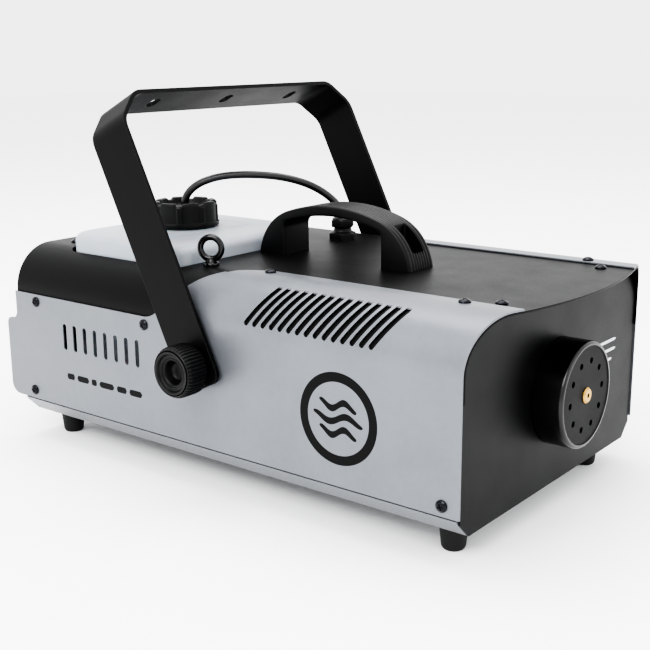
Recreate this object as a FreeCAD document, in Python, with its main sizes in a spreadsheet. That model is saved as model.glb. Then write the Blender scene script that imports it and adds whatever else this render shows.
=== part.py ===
"""Fog machine: a sheet-metal case with a fluid tank, a heated nozzle and a tilting yoke.

Millimetres. +X points out of the nozzle, +Z is up, and the near side is -Y.
The origin is under the middle of the case, on the floor that the rubber feet stand on.
"""
import FreeCAD, Part
import math
import os
import re

import Sketcher

V = FreeCAD.Vector
doc = FreeCAD.newDocument("fog_machine")

# Driving sizes: one value for each size that can be set by itself.
SIZES = {
    # case
    "body_len": 420.0, "body_width": 250.0, "body_top": 159.0, "top_radius": 36.0,
    "skin": 1.2, "skin_gap": 0.3, "foot_height": 20.0, "chamfer": 13.5, "visor_rise": 25.0,
    "tray_wall": 30.0, "fit_gap": 0.3, "running_gap": 0.06,
    # side covers
    "flange_edge": 80.0, "flange_notch": 18.0, "cover_lift": 1.0, "ear_depth": 13.0,
    "ear_high": 99.0, "ear_corner": 9.0, "ear_sweep": 6.0, "rear_step": 122.0,
    "sweep_start": 150.0, "sweep_low": 22.0, "sweep_high": 50.0, "sweep_end": 219.0,
    "skirt_low": 107.0,
    # vents
    "vent_wide": 4.2, "vent_tall": 21.0, "vent_low": 82.0, "vent_first": 59.5, "vent_pitch": 11.8,
    "louvre_wide": 3.9, "louvre_rise": 22.5, "louvre_low": 132.0, "louvre_first": 250.5,
    "louvre_pitch": 7.4, "louvre_lean": 16.0, "louvre_depth": 17.0,
    # panels
    "panel": 1.5, "panel_inset": 0.6, "panel_back": 2.2, "panel_fold": 16.0,
    # nozzle and heater
    "nozzle_height": 86.0, "nozzle_radius": 36.5, "nozzle_wall": 3.0, "nozzle_reach": 21.5,
    "nozzle_lip": 2.5, "nozzle_recess": 0.6, "nozzle_relief": 0.5, "nozzle_tail": 14.0,
    "nozzle_flange": 5.0, "disc_thick": 2.0, "disc_hole": 2.2, "disc_hole_ring": 23.5,
    "disc_hole_turn": 5.0, "tip_radius": 5.5, "tip_bore": 1.6,
    "block_len": 140.0, "block_width": 62.0, "block_height": 56.0, "block_front": 34.0,
    "lagging": 8.0, "bracket_sheet": 1.5,
    # tank and cap
    "tank_rear": 39.0, "tank_len": 129.5, "tank_near": -99.5, "tank_width": 145.0,
    "tank_shoulder": 168.0, "tank_top": 171.5, "tank_slope": 12.0,
    "tank_corner": 12.0, "tank_wall": 3.0, "tank_gap": 1.5, "cap_along": 99.0, "cap_side": -28.0,
    "neck_radius": 21.0, "neck_height": 11.0, "cap_radius": 27.0, "cap_height": 21.0,
    "cap_recess": 5.5, "cap_bore": 6.0, "gasket": 1.6,
    # fluid hose
    "hose_radius": 3.0, "gland_along": 190.0, "gland_side": 62.0, "gland_base": 10.7,
    "gland_neck": 6.5, "gland_nut": 8.3,
    # carrying handle
    "grip_middle": 245.0, "grip_side": -9.0, "grip_half": 70.9, "grip_high": 41.0,
    "grip_corner": 41.0,
    "grip_drop": 5.0, "grip_wide": 30.5, "grip_foot": 26.5, "grip_thick": 7.5,
    "grip_inner_corner": 5.0, "grip_round": 3.0, "pocket_long": 17.0, "pocket_wide": 14.0,
    "pocket_floor": 9.0,
    # tilting yoke
    "pivot_along": 207.0, "pivot_height": 95.6, "yoke_lean": 26.0, "yoke_width": 37.5,
    "yoke_sheet": 3.0, "yoke_gap": 3.0, "yoke_leg": 178.5, "yoke_bend": 19.0, "yoke_end": 16.5,
    "yoke_curl": 13.0, "yoke_round": 8.0, "yoke_slot_long": 14.0, "yoke_slot_wide": 8.5,
    "yoke_slot_spread": 78.0,
    "knob_radius": 18.3, "knob_thick": 21.0, "knob_boss": 12.0, "knob_hollow": 12.5,
    "knob_step": 2.5, "knob_funnel": 9.5, "knob_eye": 6.0, "knob_sink": 9.0, "stud_radius": 4.0, "stud_len": 36.0, "washer_radius": 10.0,
    "washer_sheet": 1.6, "boss_radius": 9.0, "boss_len": 8.0,
    # eye bolt
    "eye_along": 182.5, "eye_side": -85.2, "eye_height": 12.6, "eye_ring": 8.0, "eye_wire": 2.3,
    "eye_turn": 25.0, "eye_collar": 5.8, "eye_shank": 3.0, "eye_nut": 5.5,
    # feet
    "foot_rear": 24.0, "foot_front": 398.0, "foot_side": 94.0, "foot_top": 10.0, "foot_low": 8.0,
    "foot_round": 2.0,
    # screws
    "screw_head": 4.0, "screw_dome": 2.4, "screw_shank": 2.0, "screw_len": 7.0,
    "screw_clear": 0.2,
    # rear fittings
    "inlet_side": 84.0, "inlet_height": 60.0, "rocker_height": 100.0, "fuse_side": 36.0,
    "socket_side": -8.0,
    # pump and control board
    "pump_along": 100.0, "pump_side": 86.0, "pump_height": 58.0, "pump_len": 58.0,
    "pump_radius": 19.0, "board_along": 238.0, "board_len": 110.0, "board_height": 62.0,
    "board_low": 36.0, "board_side": 100.0, "board_thick": 1.6, "standoff": 6.0,
}

# Places worked out from the driving sizes.
PLACES = {
    "rear": "-(body_len + visor_rise + ear_depth) / 2 + ear_depth",
    "front": "rear + body_len",
    "half": "body_width / 2",
    "tray_top": "foot_height + chamfer",
    "cover_low": "tray_top + cover_lift",
    "inner": "half - skin - skin_gap",
    "inner_top": "body_top - skin - skin_gap",
    "inner_radius": "top_radius - skin - skin_gap",
    "under": "inner_top - skin",
    "visor_radius": "(half^2 + visor_rise^2) / (2 * visor_rise)",
    "panel_half": "inner - skin - fit_gap",
    "panel_top": "under - fit_gap",
    "panel_face": "front - panel_inset",
    "nozzle_spigot": "nozzle_radius - 2 * fit_gap",
    "panel_rear": "rear + panel_back",
    "tank_x": "rear + tank_rear",
    "tank_floor": "foot_height + skin",
    "cap_x": "rear + cap_along",
    "gland_x": "rear + gland_along",
    "pivot_x": "rear + pivot_along",
    "eye_x": "rear + eye_along",
    "grip_x": "rear + grip_middle",
    "pump_x": "rear + pump_along",
    "board_x": "rear + board_along",
    "yoke_face": "half + yoke_gap",
    "yoke_outside": "yoke_face + yoke_sheet",
    "knob_face": "yoke_outside + washer_sheet",
    "block_x": "panel_face - panel - block_front - block_len",
    "crown": "((grip_half - grip_corner)^2 + (grip_high + grip_drop)^2 - grip_corner^2)"
             " / (2 * (grip_high + grip_drop - grip_corner))",
}

sizes = doc.addObject("Spreadsheet::Sheet", "Sizes")
places = doc.addObject("Spreadsheet::Sheet", "Places")


def full(expression):
    """Name the sheet in front of every size or place that an expression uses."""
    def sheet_of(match):
        word = match.group(0)
        if word in SIZES:
            return "Sizes." + word
        if word in PLACES:
            return "Places." + word
        return word
    return re.sub(r"\b[a-z_]+\b", sheet_of, str(expression))


def fill_sheets():
    """Write the driving sizes as plain numbers, and the places as formulas."""
    for row, (name, number) in enumerate(SIZES.items(), start=1):
        sizes.set(f"A{row}", name)
        sizes.set(f"B{row}", str(number))
        sizes.setAlias(f"B{row}", name)
    doc.recompute()
    for row, (name, formula) in enumerate(PLACES.items(), start=1):
        places.set(f"A{row}", name)
        local = re.sub(r"\b[a-z_]+\b", lambda m: "Sizes." + m[0] if m[0] in SIZES else m[0], formula)
        places.set(f"B{row}", "=" + local)
        places.setAlias(f"B{row}", name)
    doc.recompute()


fill_sheets()


def value(expression):
    """The number that an expression has now."""
    return float(sizes.evalExpression(full(expression)))


def bind(thing, prop, expression):
    """Tie one property to the sheets."""
    thing.setExpression(prop, full(expression))


def place(thing, x="0", y="0", z="0", axis=None, angle=0.0):
    """Put a sub-part at a place, turned about an axis by a number of degrees."""
    if axis is not None:
        thing.Placement = FreeCAD.Placement(V(0, 0, 0), FreeCAD.Rotation(V(*axis), angle))
    bind(thing, "Placement.Base.x", x)
    bind(thing, "Placement.Base.y", y)
    bind(thing, "Placement.Base.z", z)
    return thing


def new_body(name):
    """An empty body."""
    body = doc.addObject("PartDesign::Body", name)
    body.Label = name
    body.AllowCompound = True
    return body


def add_loop(sketch, loop):
    """Draw one closed loop, held by the sheets.

    A loop is ("circle", x, y, radius), or a list of corners (x, y). A corner with a third and
    fourth item, a radius and a turn (1 or -1), is reached from the corner before it by an arc.
    """
    first = sketch.GeometryCount
    if loop[0] == "circle":
        x, y, radius = loop[1:]
        centre = V(value(x), value(y), 0)
        sketch.addGeometry(Part.Circle(centre, V(0, 0, 1), value(radius)), False)
        pin(sketch, first, 3, x, y)
        hold = sketch.addConstraint(Sketcher.Constraint("Radius", first, value(radius)))
        bind(sketch, f"Constraints[{hold}]", radius)
        return
    count = len(loop)
    ends = []
    for number in range(count):
        here, after = loop[number], loop[(number + 1) % count]
        start = V(value(here[0]), value(here[1]), 0)
        stop = V(value(after[0]), value(after[1]), 0)
        if len(after) == 4:
            sketch.addGeometry(arc_between(start, stop, value(after[2]), after[3]), False)
            hold = sketch.addConstraint(
                Sketcher.Constraint("Radius", first + number, value(after[2])))
            bind(sketch, f"Constraints[{hold}]", after[2])
            ends.append((1, 2) if after[3] > 0 else (2, 1))
        else:
            sketch.addGeometry(Part.LineSegment(start, stop), False)
            ends.append((1, 2))
    for number in range(count):
        after = (number + 1) % count
        sketch.addConstraint(Sketcher.Constraint(
            "Coincident", first + number, ends[number][1], first + after, ends[after][0]))
        pin(sketch, first + number, ends[number][0], loop[number][0], loop[number][1])


def pin(sketch, geometry, point, x, y):
    """Hold a point of a sketch at a place given by two expressions."""
    for kind, where in (("DistanceX", x), ("DistanceY", y)):
        hold = sketch.addConstraint(Sketcher.Constraint(kind, -1, 1, geometry, point, value(where)))
        bind(sketch, f"Constraints[{hold}]", where)


def arc_between(start, stop, radius, turn):
    """The shorter arc from start to stop, counter-clockwise where turn is 1."""
    middle = (start + stop) * 0.5
    chord = stop - start
    rise = math.sqrt(max(radius ** 2 - (chord.Length / 2) ** 2, 0.0))
    side = V(-chord.y, chord.x, 0)
    side.normalize()
    centre = middle + side * rise * turn
    begin, end = (start, stop) if turn > 0 else (stop, start)
    first_angle = math.atan2(begin.y - centre.y, begin.x - centre.x)
    last_angle = math.atan2(end.y - centre.y, end.x - centre.x)
    return Part.ArcOfCircle(Part.Circle(centre, V(0, 0, 1), radius), first_angle, last_angle)


def draw(body, plane, loops, offset="0"):
    """A sketch on one of a body's own planes, moved along the plane's normal."""
    sketch = body.newObject("Sketcher::SketchObject", body.Label + "_sketch")
    support = [item for item in body.Origin.OriginFeatures if item.Role == plane + "_Plane"][0]
    sketch.AttachmentSupport = [(support, "")]
    sketch.MapMode = "FlatFace"
    bind(sketch, "AttachmentOffset.Base.z", offset)
    for loop in loops:
        add_loop(sketch, loop)
    return sketch


def add_pad(body, plane, loops, start, length):
    """Pad loops from start, along the plane's normal (+X for YZ, -Y for XZ, +Z for XY)."""
    pad = body.newObject("PartDesign::Pad", body.Label + "_pad")
    pad.Profile = draw(body, plane, loops, start)
    bind(pad, "Length", length)
    body.Tip = pad
    return pad


def prism(name, plane, loops, start, length):
    """A body that is one pad."""
    body = new_body(name)
    add_pad(body, plane, loops, start, length)
    return body


def turned(name, loop):
    """A body turned about its own Z axis, from a loop of (radius, height) corners."""
    body = new_body(name)
    sketch = draw(body, "XZ", [loop])
    turn = body.newObject("PartDesign::Revolution", name + "_turn")
    turn.Profile = sketch
    turn.ReferenceAxis = (sketch, ["V_Axis"])
    turn.Angle = 360.0
    body.Tip = turn
    return body


def rod(name, radius, length, x="0", y="0", z="0", axis=None, angle=0.0):
    """A cylinder along Z, or turned."""
    cylinder = doc.addObject("Part::Cylinder", name)
    bind(cylinder, "Radius", radius)
    bind(cylinder, "Height", length)
    return place(cylinder, x, y, z, axis, angle)


def block(name, x, y, z, length, width, height):
    """A box from its lowest corner."""
    box = doc.addObject("Part::Box", name)
    bind(box, "Length", length)
    bind(box, "Width", width)
    bind(box, "Height", height)
    return place(box, x, y, z)


def fuse(name, parts):
    """One solid made of several."""
    joined = doc.addObject("Part::MultiFuse", name)
    joined.Shapes = parts
    joined.Refine = True
    return joined


def common(name, parts):
    """What several solids share."""
    shared = doc.addObject("Part::MultiCommon", name)
    shared.Shapes = parts
    return shared


def group(name, parts):
    """Several separate solids in one node."""
    together = doc.addObject("Part::Compound", name)
    together.Links = parts
    return together


def cut(name, base, tools):
    """A solid less one or more others."""
    less = doc.addObject("Part::Cut", name)
    less.Base = base
    less.Tool = tools[0] if len(tools) == 1 else group(name + "_tools", tools)
    return less


def mirrored(name, source):
    """The same piece on the other side of the case."""
    twin = doc.addObject("Part::Mirroring", name)
    twin.Source = source
    twin.Normal = V(0, 1, 0)
    return twin


def rounded(body, radius, picks):
    """Fillet the edges of a body's tip that picks(edge) accepts."""
    doc.recompute()
    tip = body.Tip
    names = [f"Edge{number}" for number, edge in enumerate(tip.Shape.Edges, start=1) if picks(edge)]
    fillet = body.newObject("PartDesign::Fillet", body.Label + "_fillet")
    fillet.Base = (tip, names)
    bind(fillet, "Radius", radius)
    body.Tip = fillet
    return fillet


nodes = {}


def node(name, thing):
    """Keep a sub-part under the name of its node."""
    thing.Label = name
    nodes[name] = thing
    return thing


# Ways to lay a piece that is turned about Z along another direction.
TO_NEAR = {"axis": (1, 0, 0), "angle": 90.0}
TO_FAR = {"axis": (1, 0, 0), "angle": -90.0}
TO_FRONT = {"axis": (0, 1, 0), "angle": 90.0}
TO_FLOOR = {"axis": (1, 0, 0), "angle": 180.0}


# ---------------------------------------------------------------- case

def arch(edge, top, radius, low):
    """The case's cross-section: straight sides, round top corners and a flat top."""
    return [(f"-({edge})", low), (f"{edge}", low), (f"{edge}", f"{top} - ({radius})"),
            (f"{edge} - ({radius})", top, radius, 1), (f"-({edge}) + {radius}", top),
            (f"-({edge})", f"{top} - ({radius})", radius, 1)]


def visor(name):
    """The round that cuts the covers' front edges to an arc seen from above."""
    return rod(name, "visor_radius", "body_top * 2", "front + visor_rise - visor_radius")


def screw_places():
    """Every cover screw: its place on the outer surface and which way its head looks."""
    spots = []
    for side, way in ((-1, TO_NEAR), (1, TO_FAR)):
        for along, height in (("26", "116"), ("151", "116"), ("17", "cover_low + 7"),
                              ("body_len - 12", "cover_low + 7")):
            spots.append((f"rear + {along}", f"{side} * half", height, way))
        for along in ("240", "body_len - 23"):
            spots.append((f"rear + {along}", f"{side} * (flange_edge + 5.5)", "body_top", {}))
        spots.append(("front - 6", f"{side} * (flange_edge - 10)", "inner_top", {}))
        spots.append(("rear + 22", f"{side} * (flange_edge - 2)", "inner_top", {}))
    return spots


def screw(name, x, y, z, way, head="screw_head", dome="screw_dome", shank="screw_shank",
          length="screw_len"):
    """A pan-head screw whose head stands on the surface at the given place."""
    loop = [("0", f"-({length})"), (shank, f"-({length})"), (shank, "0"), (head, "0"),
            (head, f"{dome} * 0.45"), (f"{head} * 0.62", dome, f"{head} * 0.62", 1), ("0", dome)]
    return place(turned(name, loop), x, y, z, **way)


def screw_hole(name, x, y, z, way):
    """The clearance hole for a cover screw, through the sheets under its head."""
    hole = turned(name, [("0", "-8"), ("screw_shank + screw_clear", "-8"),
                         ("screw_shank + screw_clear", "0.5"), ("0", "0.5")])
    return place(hole, x, y, z, **way)


def make_screws():
    """The case's screws, and the holes that they pass through."""
    spots = screw_places()
    screws = [screw(f"cover_screw_{number}", *spot) for number, spot in enumerate(spots)]
    node("cover_screws", group("cover_screws", screws))
    return group("cover_holes", [screw_hole(f"cover_hole_{number}", *spot)
                                 for number, spot in enumerate(spots)])


def make_tray(holes):
    """The painted base: a folded channel with chamfered lower edges and end lips."""
    slope = "skin * sqrt(2)"
    tray_section = [
        ("-(half - chamfer)", "foot_height"), ("half - chamfer", "foot_height"),
        ("half", "tray_top"), ("inner", "tray_top"), ("inner", "foot_height + tray_wall"),
        ("inner - skin", "foot_height + tray_wall"),
        ("inner - skin", f"foot_height + inner - skin - half + chamfer + {slope}"),
        (f"half - chamfer + skin - {slope}", "foot_height + skin"),
        (f"-(half - chamfer + skin - {slope})", "foot_height + skin"),
        ("-(inner - skin)", f"foot_height + inner - skin - half + chamfer + {slope}"),
        ("-(inner - skin)", "foot_height + tray_wall"), ("-inner", "foot_height + tray_wall"),
        ("-inner", "tray_top"), ("-half", "tray_top")]
    channel = prism("tray_channel", "YZ", [tray_section], "panel_rear + panel",
                    "panel_face - panel_rear - 2 * panel")
    slots = []
    for number in range(9):
        slots.append(block(f"tray_slot_{number}", f"rear + 200 + {number} * 16", "40", "0",
                           "4", "46", "foot_height * 2"))
    foot_holes = [rod(f"tray_foot_hole_{number}", "screw_shank + screw_clear", "foot_height * 2",
                      x, y) for number, (x, y) in enumerate(foot_places())]
    node("base_tray", cut("base_tray", channel, [holes, *slots, *foot_holes]))


def foot_places():
    """The middles of the four feet."""
    return [(f"rear + {along}", f"{side} * foot_side")
            for along in ("foot_rear", "foot_front") for side in (-1, 1)]


def make_feet():
    """Four rubber feet with rounded bottoms, each held by a screw from below."""
    feet, screws = [], []
    socket = "screw_head + 1"
    for number, (x, y) in enumerate(foot_places()):
        loop = [("screw_shank + screw_clear", "foot_height"), ("foot_top", "foot_height"),
                ("foot_low", "foot_round"), ("foot_low - foot_round", "0", "foot_round", -1),
                (socket, "0"), (socket, "foot_height * 0.5"),
                ("screw_shank + screw_clear", "foot_height * 0.5")]
        feet.append(place(turned(f"foot_{number}", loop), x, y))
        screws.append(screw(f"foot_screw_{number}", x, y, "foot_height * 0.5", TO_FLOOR,
                            length="foot_height * 0.5 + 4"))
    node("rubber_feet", group("rubber_feet", feet))
    node("foot_screws", group("foot_screws", screws))


def side_outline():
    """The side cover seen from the side: front edge, rear ear, rear step and upward sweep."""
    first_x = "rear + sweep_start + sweep_low * sin(45)"
    first_z = "rear_step + sweep_low * (1 - cos(45))"
    last_x = "rear + sweep_end - sweep_high * sin(45)"
    last_z = "body_top - sweep_high * (1 - cos(45))"
    return [
        ("front + visor_rise + 5", "cover_low"), ("front + visor_rise + 5", "body_top + 5"),
        ("rear + sweep_end", "body_top + 5"), ("rear + sweep_end", "body_top"),
        (last_x, last_z, "sweep_high", 1), (first_x, first_z),
        ("rear + sweep_start", "rear_step", "sweep_low", -1), ("rear", "rear_step"),
        ("rear", "ear_high + ear_sweep"),
        ("rear - ear_sweep", "ear_high", "ear_sweep", -1),
        ("rear - ear_depth + ear_sweep * 0.9", "ear_high"),
        ("rear - ear_depth", "ear_high - ear_sweep * 0.9", "ear_sweep * 0.9", 1),
        ("rear - ear_depth", "cover_low + ear_corner"),
        ("rear - ear_depth + ear_corner", "cover_low", "ear_corner", 1)]


def slot_loop(x, z, rise, lean, wide):
    """A slot with round ends, from its lower middle, rising and leaning forward."""
    reach = f"sqrt(({rise})^2 + ({lean})^2)"
    across_x = f"({wide}) / 2 * ({rise}) / {reach}"
    across_z = f"({wide}) / 2 * ({lean}) / {reach}"
    return [(f"{x} - {across_x}", f"{z} + {across_z}"),
            (f"{x} + {across_x}", f"{z} - {across_z}", f"({wide}) / 2 * 1.0001", 1),
            (f"{x} + {lean} + {across_x}", f"{z} + {rise} - {across_z}"),
            (f"{x} + {lean} - {across_x}", f"{z} + {rise} + {across_z}", f"({wide}) / 2 * 1.0001", 1)]


def make_side_covers(holes):
    """The two grey side covers: a side, a round top corner and a short top flange."""
    section = [
        ("-half", "cover_low"), ("-half + skin", "cover_low"),
        ("-half + skin", "body_top - top_radius"),
        ("-half + top_radius", "body_top - skin", "top_radius - skin", -1),
        ("-flange_edge", "body_top - skin"), ("-flange_edge", "body_top"),
        ("-half + top_radius", "body_top"),
        ("-half", "body_top - top_radius", "top_radius", 1)]
    shell = prism("cover_shell", "YZ", [section], "rear - ear_depth",
                  "body_len + ear_depth + visor_rise")
    outline = prism("cover_outline", "XZ", [side_outline()], "-half", "body_width")
    notch = prism("cover_notch", "XY", [[
        ("rear + sweep_end - 60", "-flange_edge - flange_notch"),
        ("rear + sweep_end - 8", "-flange_edge - flange_notch"),
        ("rear + sweep_end + 22", "-flange_edge", "60", -1),
        ("rear + sweep_end + 22", "-flange_edge + 10"),
        ("rear + sweep_end - 60", "-flange_edge + 10")]], "body_top - 3", "6")
    vents = prism("cover_vents", "XZ", [
        slot_loop(f"rear + vent_first + {number} * vent_pitch", "vent_low + vent_wide / 2",
                  "vent_tall - vent_wide", "0", "vent_wide") for number in range(8)],
        "half - 5", "10")
    louvres = prism("cover_louvres", "XZ", [
        slot_loop(f"rear + louvre_first + {number} * louvre_pitch", "louvre_low",
                  "louvre_rise", "louvre_lean", "louvre_wide") for number in range(15)],
        "half - louvre_depth - 3", "louvre_depth + 10")
    pivot = rod("cover_pivot_hole", "stud_radius + 0.5", "body_width", "pivot_x", "half",
                "pivot_height", **TO_NEAR)
    whole = common("cover_whole", [shell, outline, visor("cover_visor")])
    near = node("side_cover_near", cut("side_cover_near", whole,
                                       [notch, vents, louvres, pivot, holes]))
    node("side_cover_far", mirrored("side_cover_far", near))


def make_top_cover(holes):
    """The black inner cover: top and short skirts, with openings for the tank and fittings."""
    outer = arch("inner", "inner_top", "inner_radius", "skirt_low")
    hollow = arch("inner - skin", "under", "inner_radius - skin", "skirt_low - 10")
    skin_all = prism("top_outer", "YZ", [outer], "rear + 1", "body_len + visor_rise")
    inside = prism("top_inner", "YZ", [hollow], "rear", "body_len + visor_rise + 10")
    opening = prism("tank_opening", "XY", [[
        ("tank_x - tank_gap", "tank_near - tank_gap"),
        ("tank_x + tank_len + tank_gap", "tank_near - tank_gap"),
        ("tank_x + tank_len + tank_gap", "tank_near + tank_width + tank_gap"),
        ("tank_x - tank_gap", "tank_near + tank_width + tank_gap")]], "skirt_low", "80")
    rounded(opening, "tank_corner", lambda edge: abs(edge.tangentAt(edge.FirstParameter).z) > 0.9)
    gland = rod("top_gland_hole", "gland_neck + 0.2", "40", "gland_x", "gland_side", "under - 20")
    eye = rod("top_eye_hole", "eye_shank + 0.2", "40", "eye_x", "eye_side", "under - 20")
    grips = [rod(f"top_grip_hole_{number}", "screw_shank + screw_clear", "20", x, "grip_side",
                 "under - 10")
             for number, x in enumerate(grip_screw_places())]
    raw = cut("top_raw", skin_all, [inside, opening, gland, eye, *grips, holes])
    node("top_cover", common("top_cover", [raw, visor("top_visor")]))


def panel_loop():
    """The outline of the front and rear panels, which fit inside the covers."""
    edge = "panel_half"
    return [
        ("-(half - chamfer)", "foot_height"), ("half - chamfer", "foot_height"),
        (edge, f"foot_height + {edge} - half + chamfer"),
        (edge, "panel_top - inner_radius + skin + fit_gap"),
        (f"{edge} - inner_radius + skin + fit_gap", "panel_top",
         "inner_radius - skin - fit_gap", 1),
        (f"-({edge}) + inner_radius - skin - fit_gap", "panel_top"),
        (f"-({edge})", "panel_top - inner_radius + skin + fit_gap",
         "inner_radius - skin - fit_gap", 1),
        (f"-({edge})", f"foot_height + {edge} - half + chamfer")]


def make_panels():
    """The flat front and rear panels, each with a fold that lies on the tray's floor."""
    fold_wide = "body_width - 2 * chamfer - 20"
    floor = "foot_height + skin"
    front_sheet = prism("front_sheet", "YZ", [panel_loop()], "panel_face - panel", "panel")
    front_fold = block("front_fold", "panel_face - panel - panel_fold", f"-({fold_wide}) / 2",
                       floor, "panel_fold + panel / 2", fold_wide, "panel")
    hole = rod("front_hole", "nozzle_spigot + fit_gap", "20", "panel_face - 10", "0",
               "nozzle_height", **TO_FRONT)
    node("front_panel", cut("front_panel", fuse("front_whole", [front_sheet, front_fold]), [hole]))
    rear_sheet = prism("rear_sheet", "YZ", [panel_loop()], "panel_rear", "panel")
    rear_fold = block("rear_fold", "panel_rear + panel / 2", f"-({fold_wide}) / 2", floor,
                      "panel_fold + panel / 2", fold_wide, "panel")
    inlet = block("rear_inlet_hole", "rear - 5", "inlet_side - 14.2", "inlet_height - 10.2",
                  "20", "28.4", "20.4")
    rocker = block("rear_rocker_hole", "rear - 5", "inlet_side - 13.2", "rocker_height - 10.2",
                   "20", "26.4", "20.4")
    fuse_hole = rod("rear_fuse_hole", "6.2", "20", "rear - 5", "fuse_side", "inlet_height",
                    **TO_FRONT)
    socket = rod("rear_socket_hole", "9.2", "20", "rear - 5", "socket_side", "inlet_height",
                 **TO_FRONT)
    lamp = rod("rear_lamp_hole", "4.2", "20", "rear - 5", "fuse_side", "rocker_height", **TO_FRONT)
    node("rear_panel", cut("rear_panel", fuse("rear_whole", [rear_sheet, rear_fold]),
                           [inlet, rocker, fuse_hole, socket, lamp]))


# ---------------------------------------------------------------- nozzle and heater

def make_nozzle():
    """The round nozzle guard, its perforated disc and the brass tip in the middle."""
    bore = "nozzle_radius - nozzle_wall"
    flange_radius = "nozzle_radius + nozzle_flange"
    spigot = "nozzle_spigot"
    loop = [(bore, "-nozzle_tail"), (spigot, "-nozzle_tail"),
            (spigot, "-panel - 2"), (flange_radius, "-panel - 2"),
            (flange_radius, "-panel"), (spigot, "-panel"), (spigot, "nozzle_relief"),
            ("nozzle_radius", "nozzle_relief"), ("nozzle_radius", "nozzle_reach - nozzle_lip"),
            ("nozzle_radius - nozzle_lip", "nozzle_reach", "nozzle_lip", 1),
            (f"{bore} + 0.3", "nozzle_reach"), (bore, "nozzle_reach - 0.3")]
    node("nozzle_guard", place(turned("nozzle_guard", loop), "panel_face", "0", "nozzle_height",
                               **TO_FRONT))
    disc = rod("disc_blank", f"{bore} - 0.1", "disc_thick",
               "panel_face + nozzle_reach - nozzle_recess - disc_thick", "0", "nozzle_height",
               **TO_FRONT)
    holes = [rod("disc_centre", "tip_radius + 0.1", "nozzle_reach", "panel_face", "0", "nozzle_height",
                 **TO_FRONT)]
    for number in range(10):
        angle = f"{number} * 36 + disc_hole_turn"
        holes.append(rod(f"disc_hole_{number}", "disc_hole", "nozzle_reach", "panel_face",
                         f"disc_hole_ring * cos({angle})",
                         f"nozzle_height + disc_hole_ring * sin({angle})", **TO_FRONT))
    node("nozzle_disc", cut("nozzle_disc", disc, holes))
    tip_len = "block_front + panel + nozzle_reach - nozzle_recess + 1.5"
    tip = turned("nozzle_tip", [("tip_bore", "0"), ("tip_radius", "0"),
                                ("tip_radius", f"{tip_len} - 1"), ("tip_radius - 1", tip_len),
                                ("tip_bore", tip_len)])
    node("nozzle_tip", place(tip, "block_x + block_len", "0", "nozzle_height", **TO_FRONT))


def make_heater():
    """The cast heater block with its lagging, shield, cradles, thermostats and fluid inlet."""
    low = "nozzle_height - block_height / 2"
    body = block("heater_blank", "block_x", "-block_width / 2", low, "block_len", "block_width",
                 "block_height")
    bore = rod("heater_bore", "tip_bore", "block_len + 2", "block_x - 1", "0", "nozzle_height",
               **TO_FRONT)
    node("heater_block", cut("heater_block", body, [bore]))
    wide = "block_width / 2 + lagging"
    high = "nozzle_height + block_height / 2 + lagging"
    lagging = prism("heater_lagging", "YZ", [[
        (f"-({wide})", low), ("-block_width / 2", low),
        ("-block_width / 2", "nozzle_height + block_height / 2"),
        ("block_width / 2", "nozzle_height + block_height / 2"), ("block_width / 2", low),
        (wide, low), (wide, high), (f"-({wide})", high)]],
        "block_x + 22", "block_len - 44")
    node("heater_lagging", lagging)
    sheet = "bracket_sheet"
    shield = prism("heater_shield", "YZ", [[
        (f"-({wide}) - {sheet}", "foot_height + skin"), (f"-({wide})", "foot_height + skin"),
        (f"-({wide})", high), (wide, high), (wide, "foot_height + skin"),
        (f"{wide} + {sheet}", "foot_height + skin"), (f"{wide} + {sheet}", f"{high} + {sheet}"),
        (f"-({wide}) - {sheet}", f"{high} + {sheet}")]], "block_x + 22", "block_len - 44")
    node("heater_shield", shield)
    cradles = []
    for number, along in enumerate(("block_x + 4", "block_x + block_len - 18")):
        cradles.append(prism(f"cradle_{number}", "YZ", [[
            ("-block_width / 2", "foot_height + skin"), ("block_width / 2", "foot_height + skin"),
            ("block_width / 2", low), ("-block_width / 2", low),
            ("-block_width / 2", f"{low} - {sheet}"), (f"block_width / 2 - {sheet}", f"{low} - {sheet}"),
            (f"block_width / 2 - {sheet}", f"foot_height + skin + {sheet}"),
            ("-block_width / 2", f"foot_height + skin + {sheet}")]], along, "14"))
    node("heater_cradles", group("heater_cradles", cradles))
    top = "nozzle_height + block_height / 2"
    sensors = [rod(f"thermostat_{number}", "8", "10", x, "0", top)
               for number, x in enumerate(("block_x + 11", "block_x + block_len - 11"))]
    node("thermostats", group("thermostats", sensors))
    inlet = turned("heater_inlet", [("tip_bore", "0"), ("5", "0"), ("5", "-8"), ("2.6", "-8"),
                                    ("2.6", "-18"), ("tip_bore", "-18")])
    node("heater_inlet", place(inlet, "block_x", "0", "nozzle_height", **TO_FRONT))


# ---------------------------------------------------------------- tank, cap and hose

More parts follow.
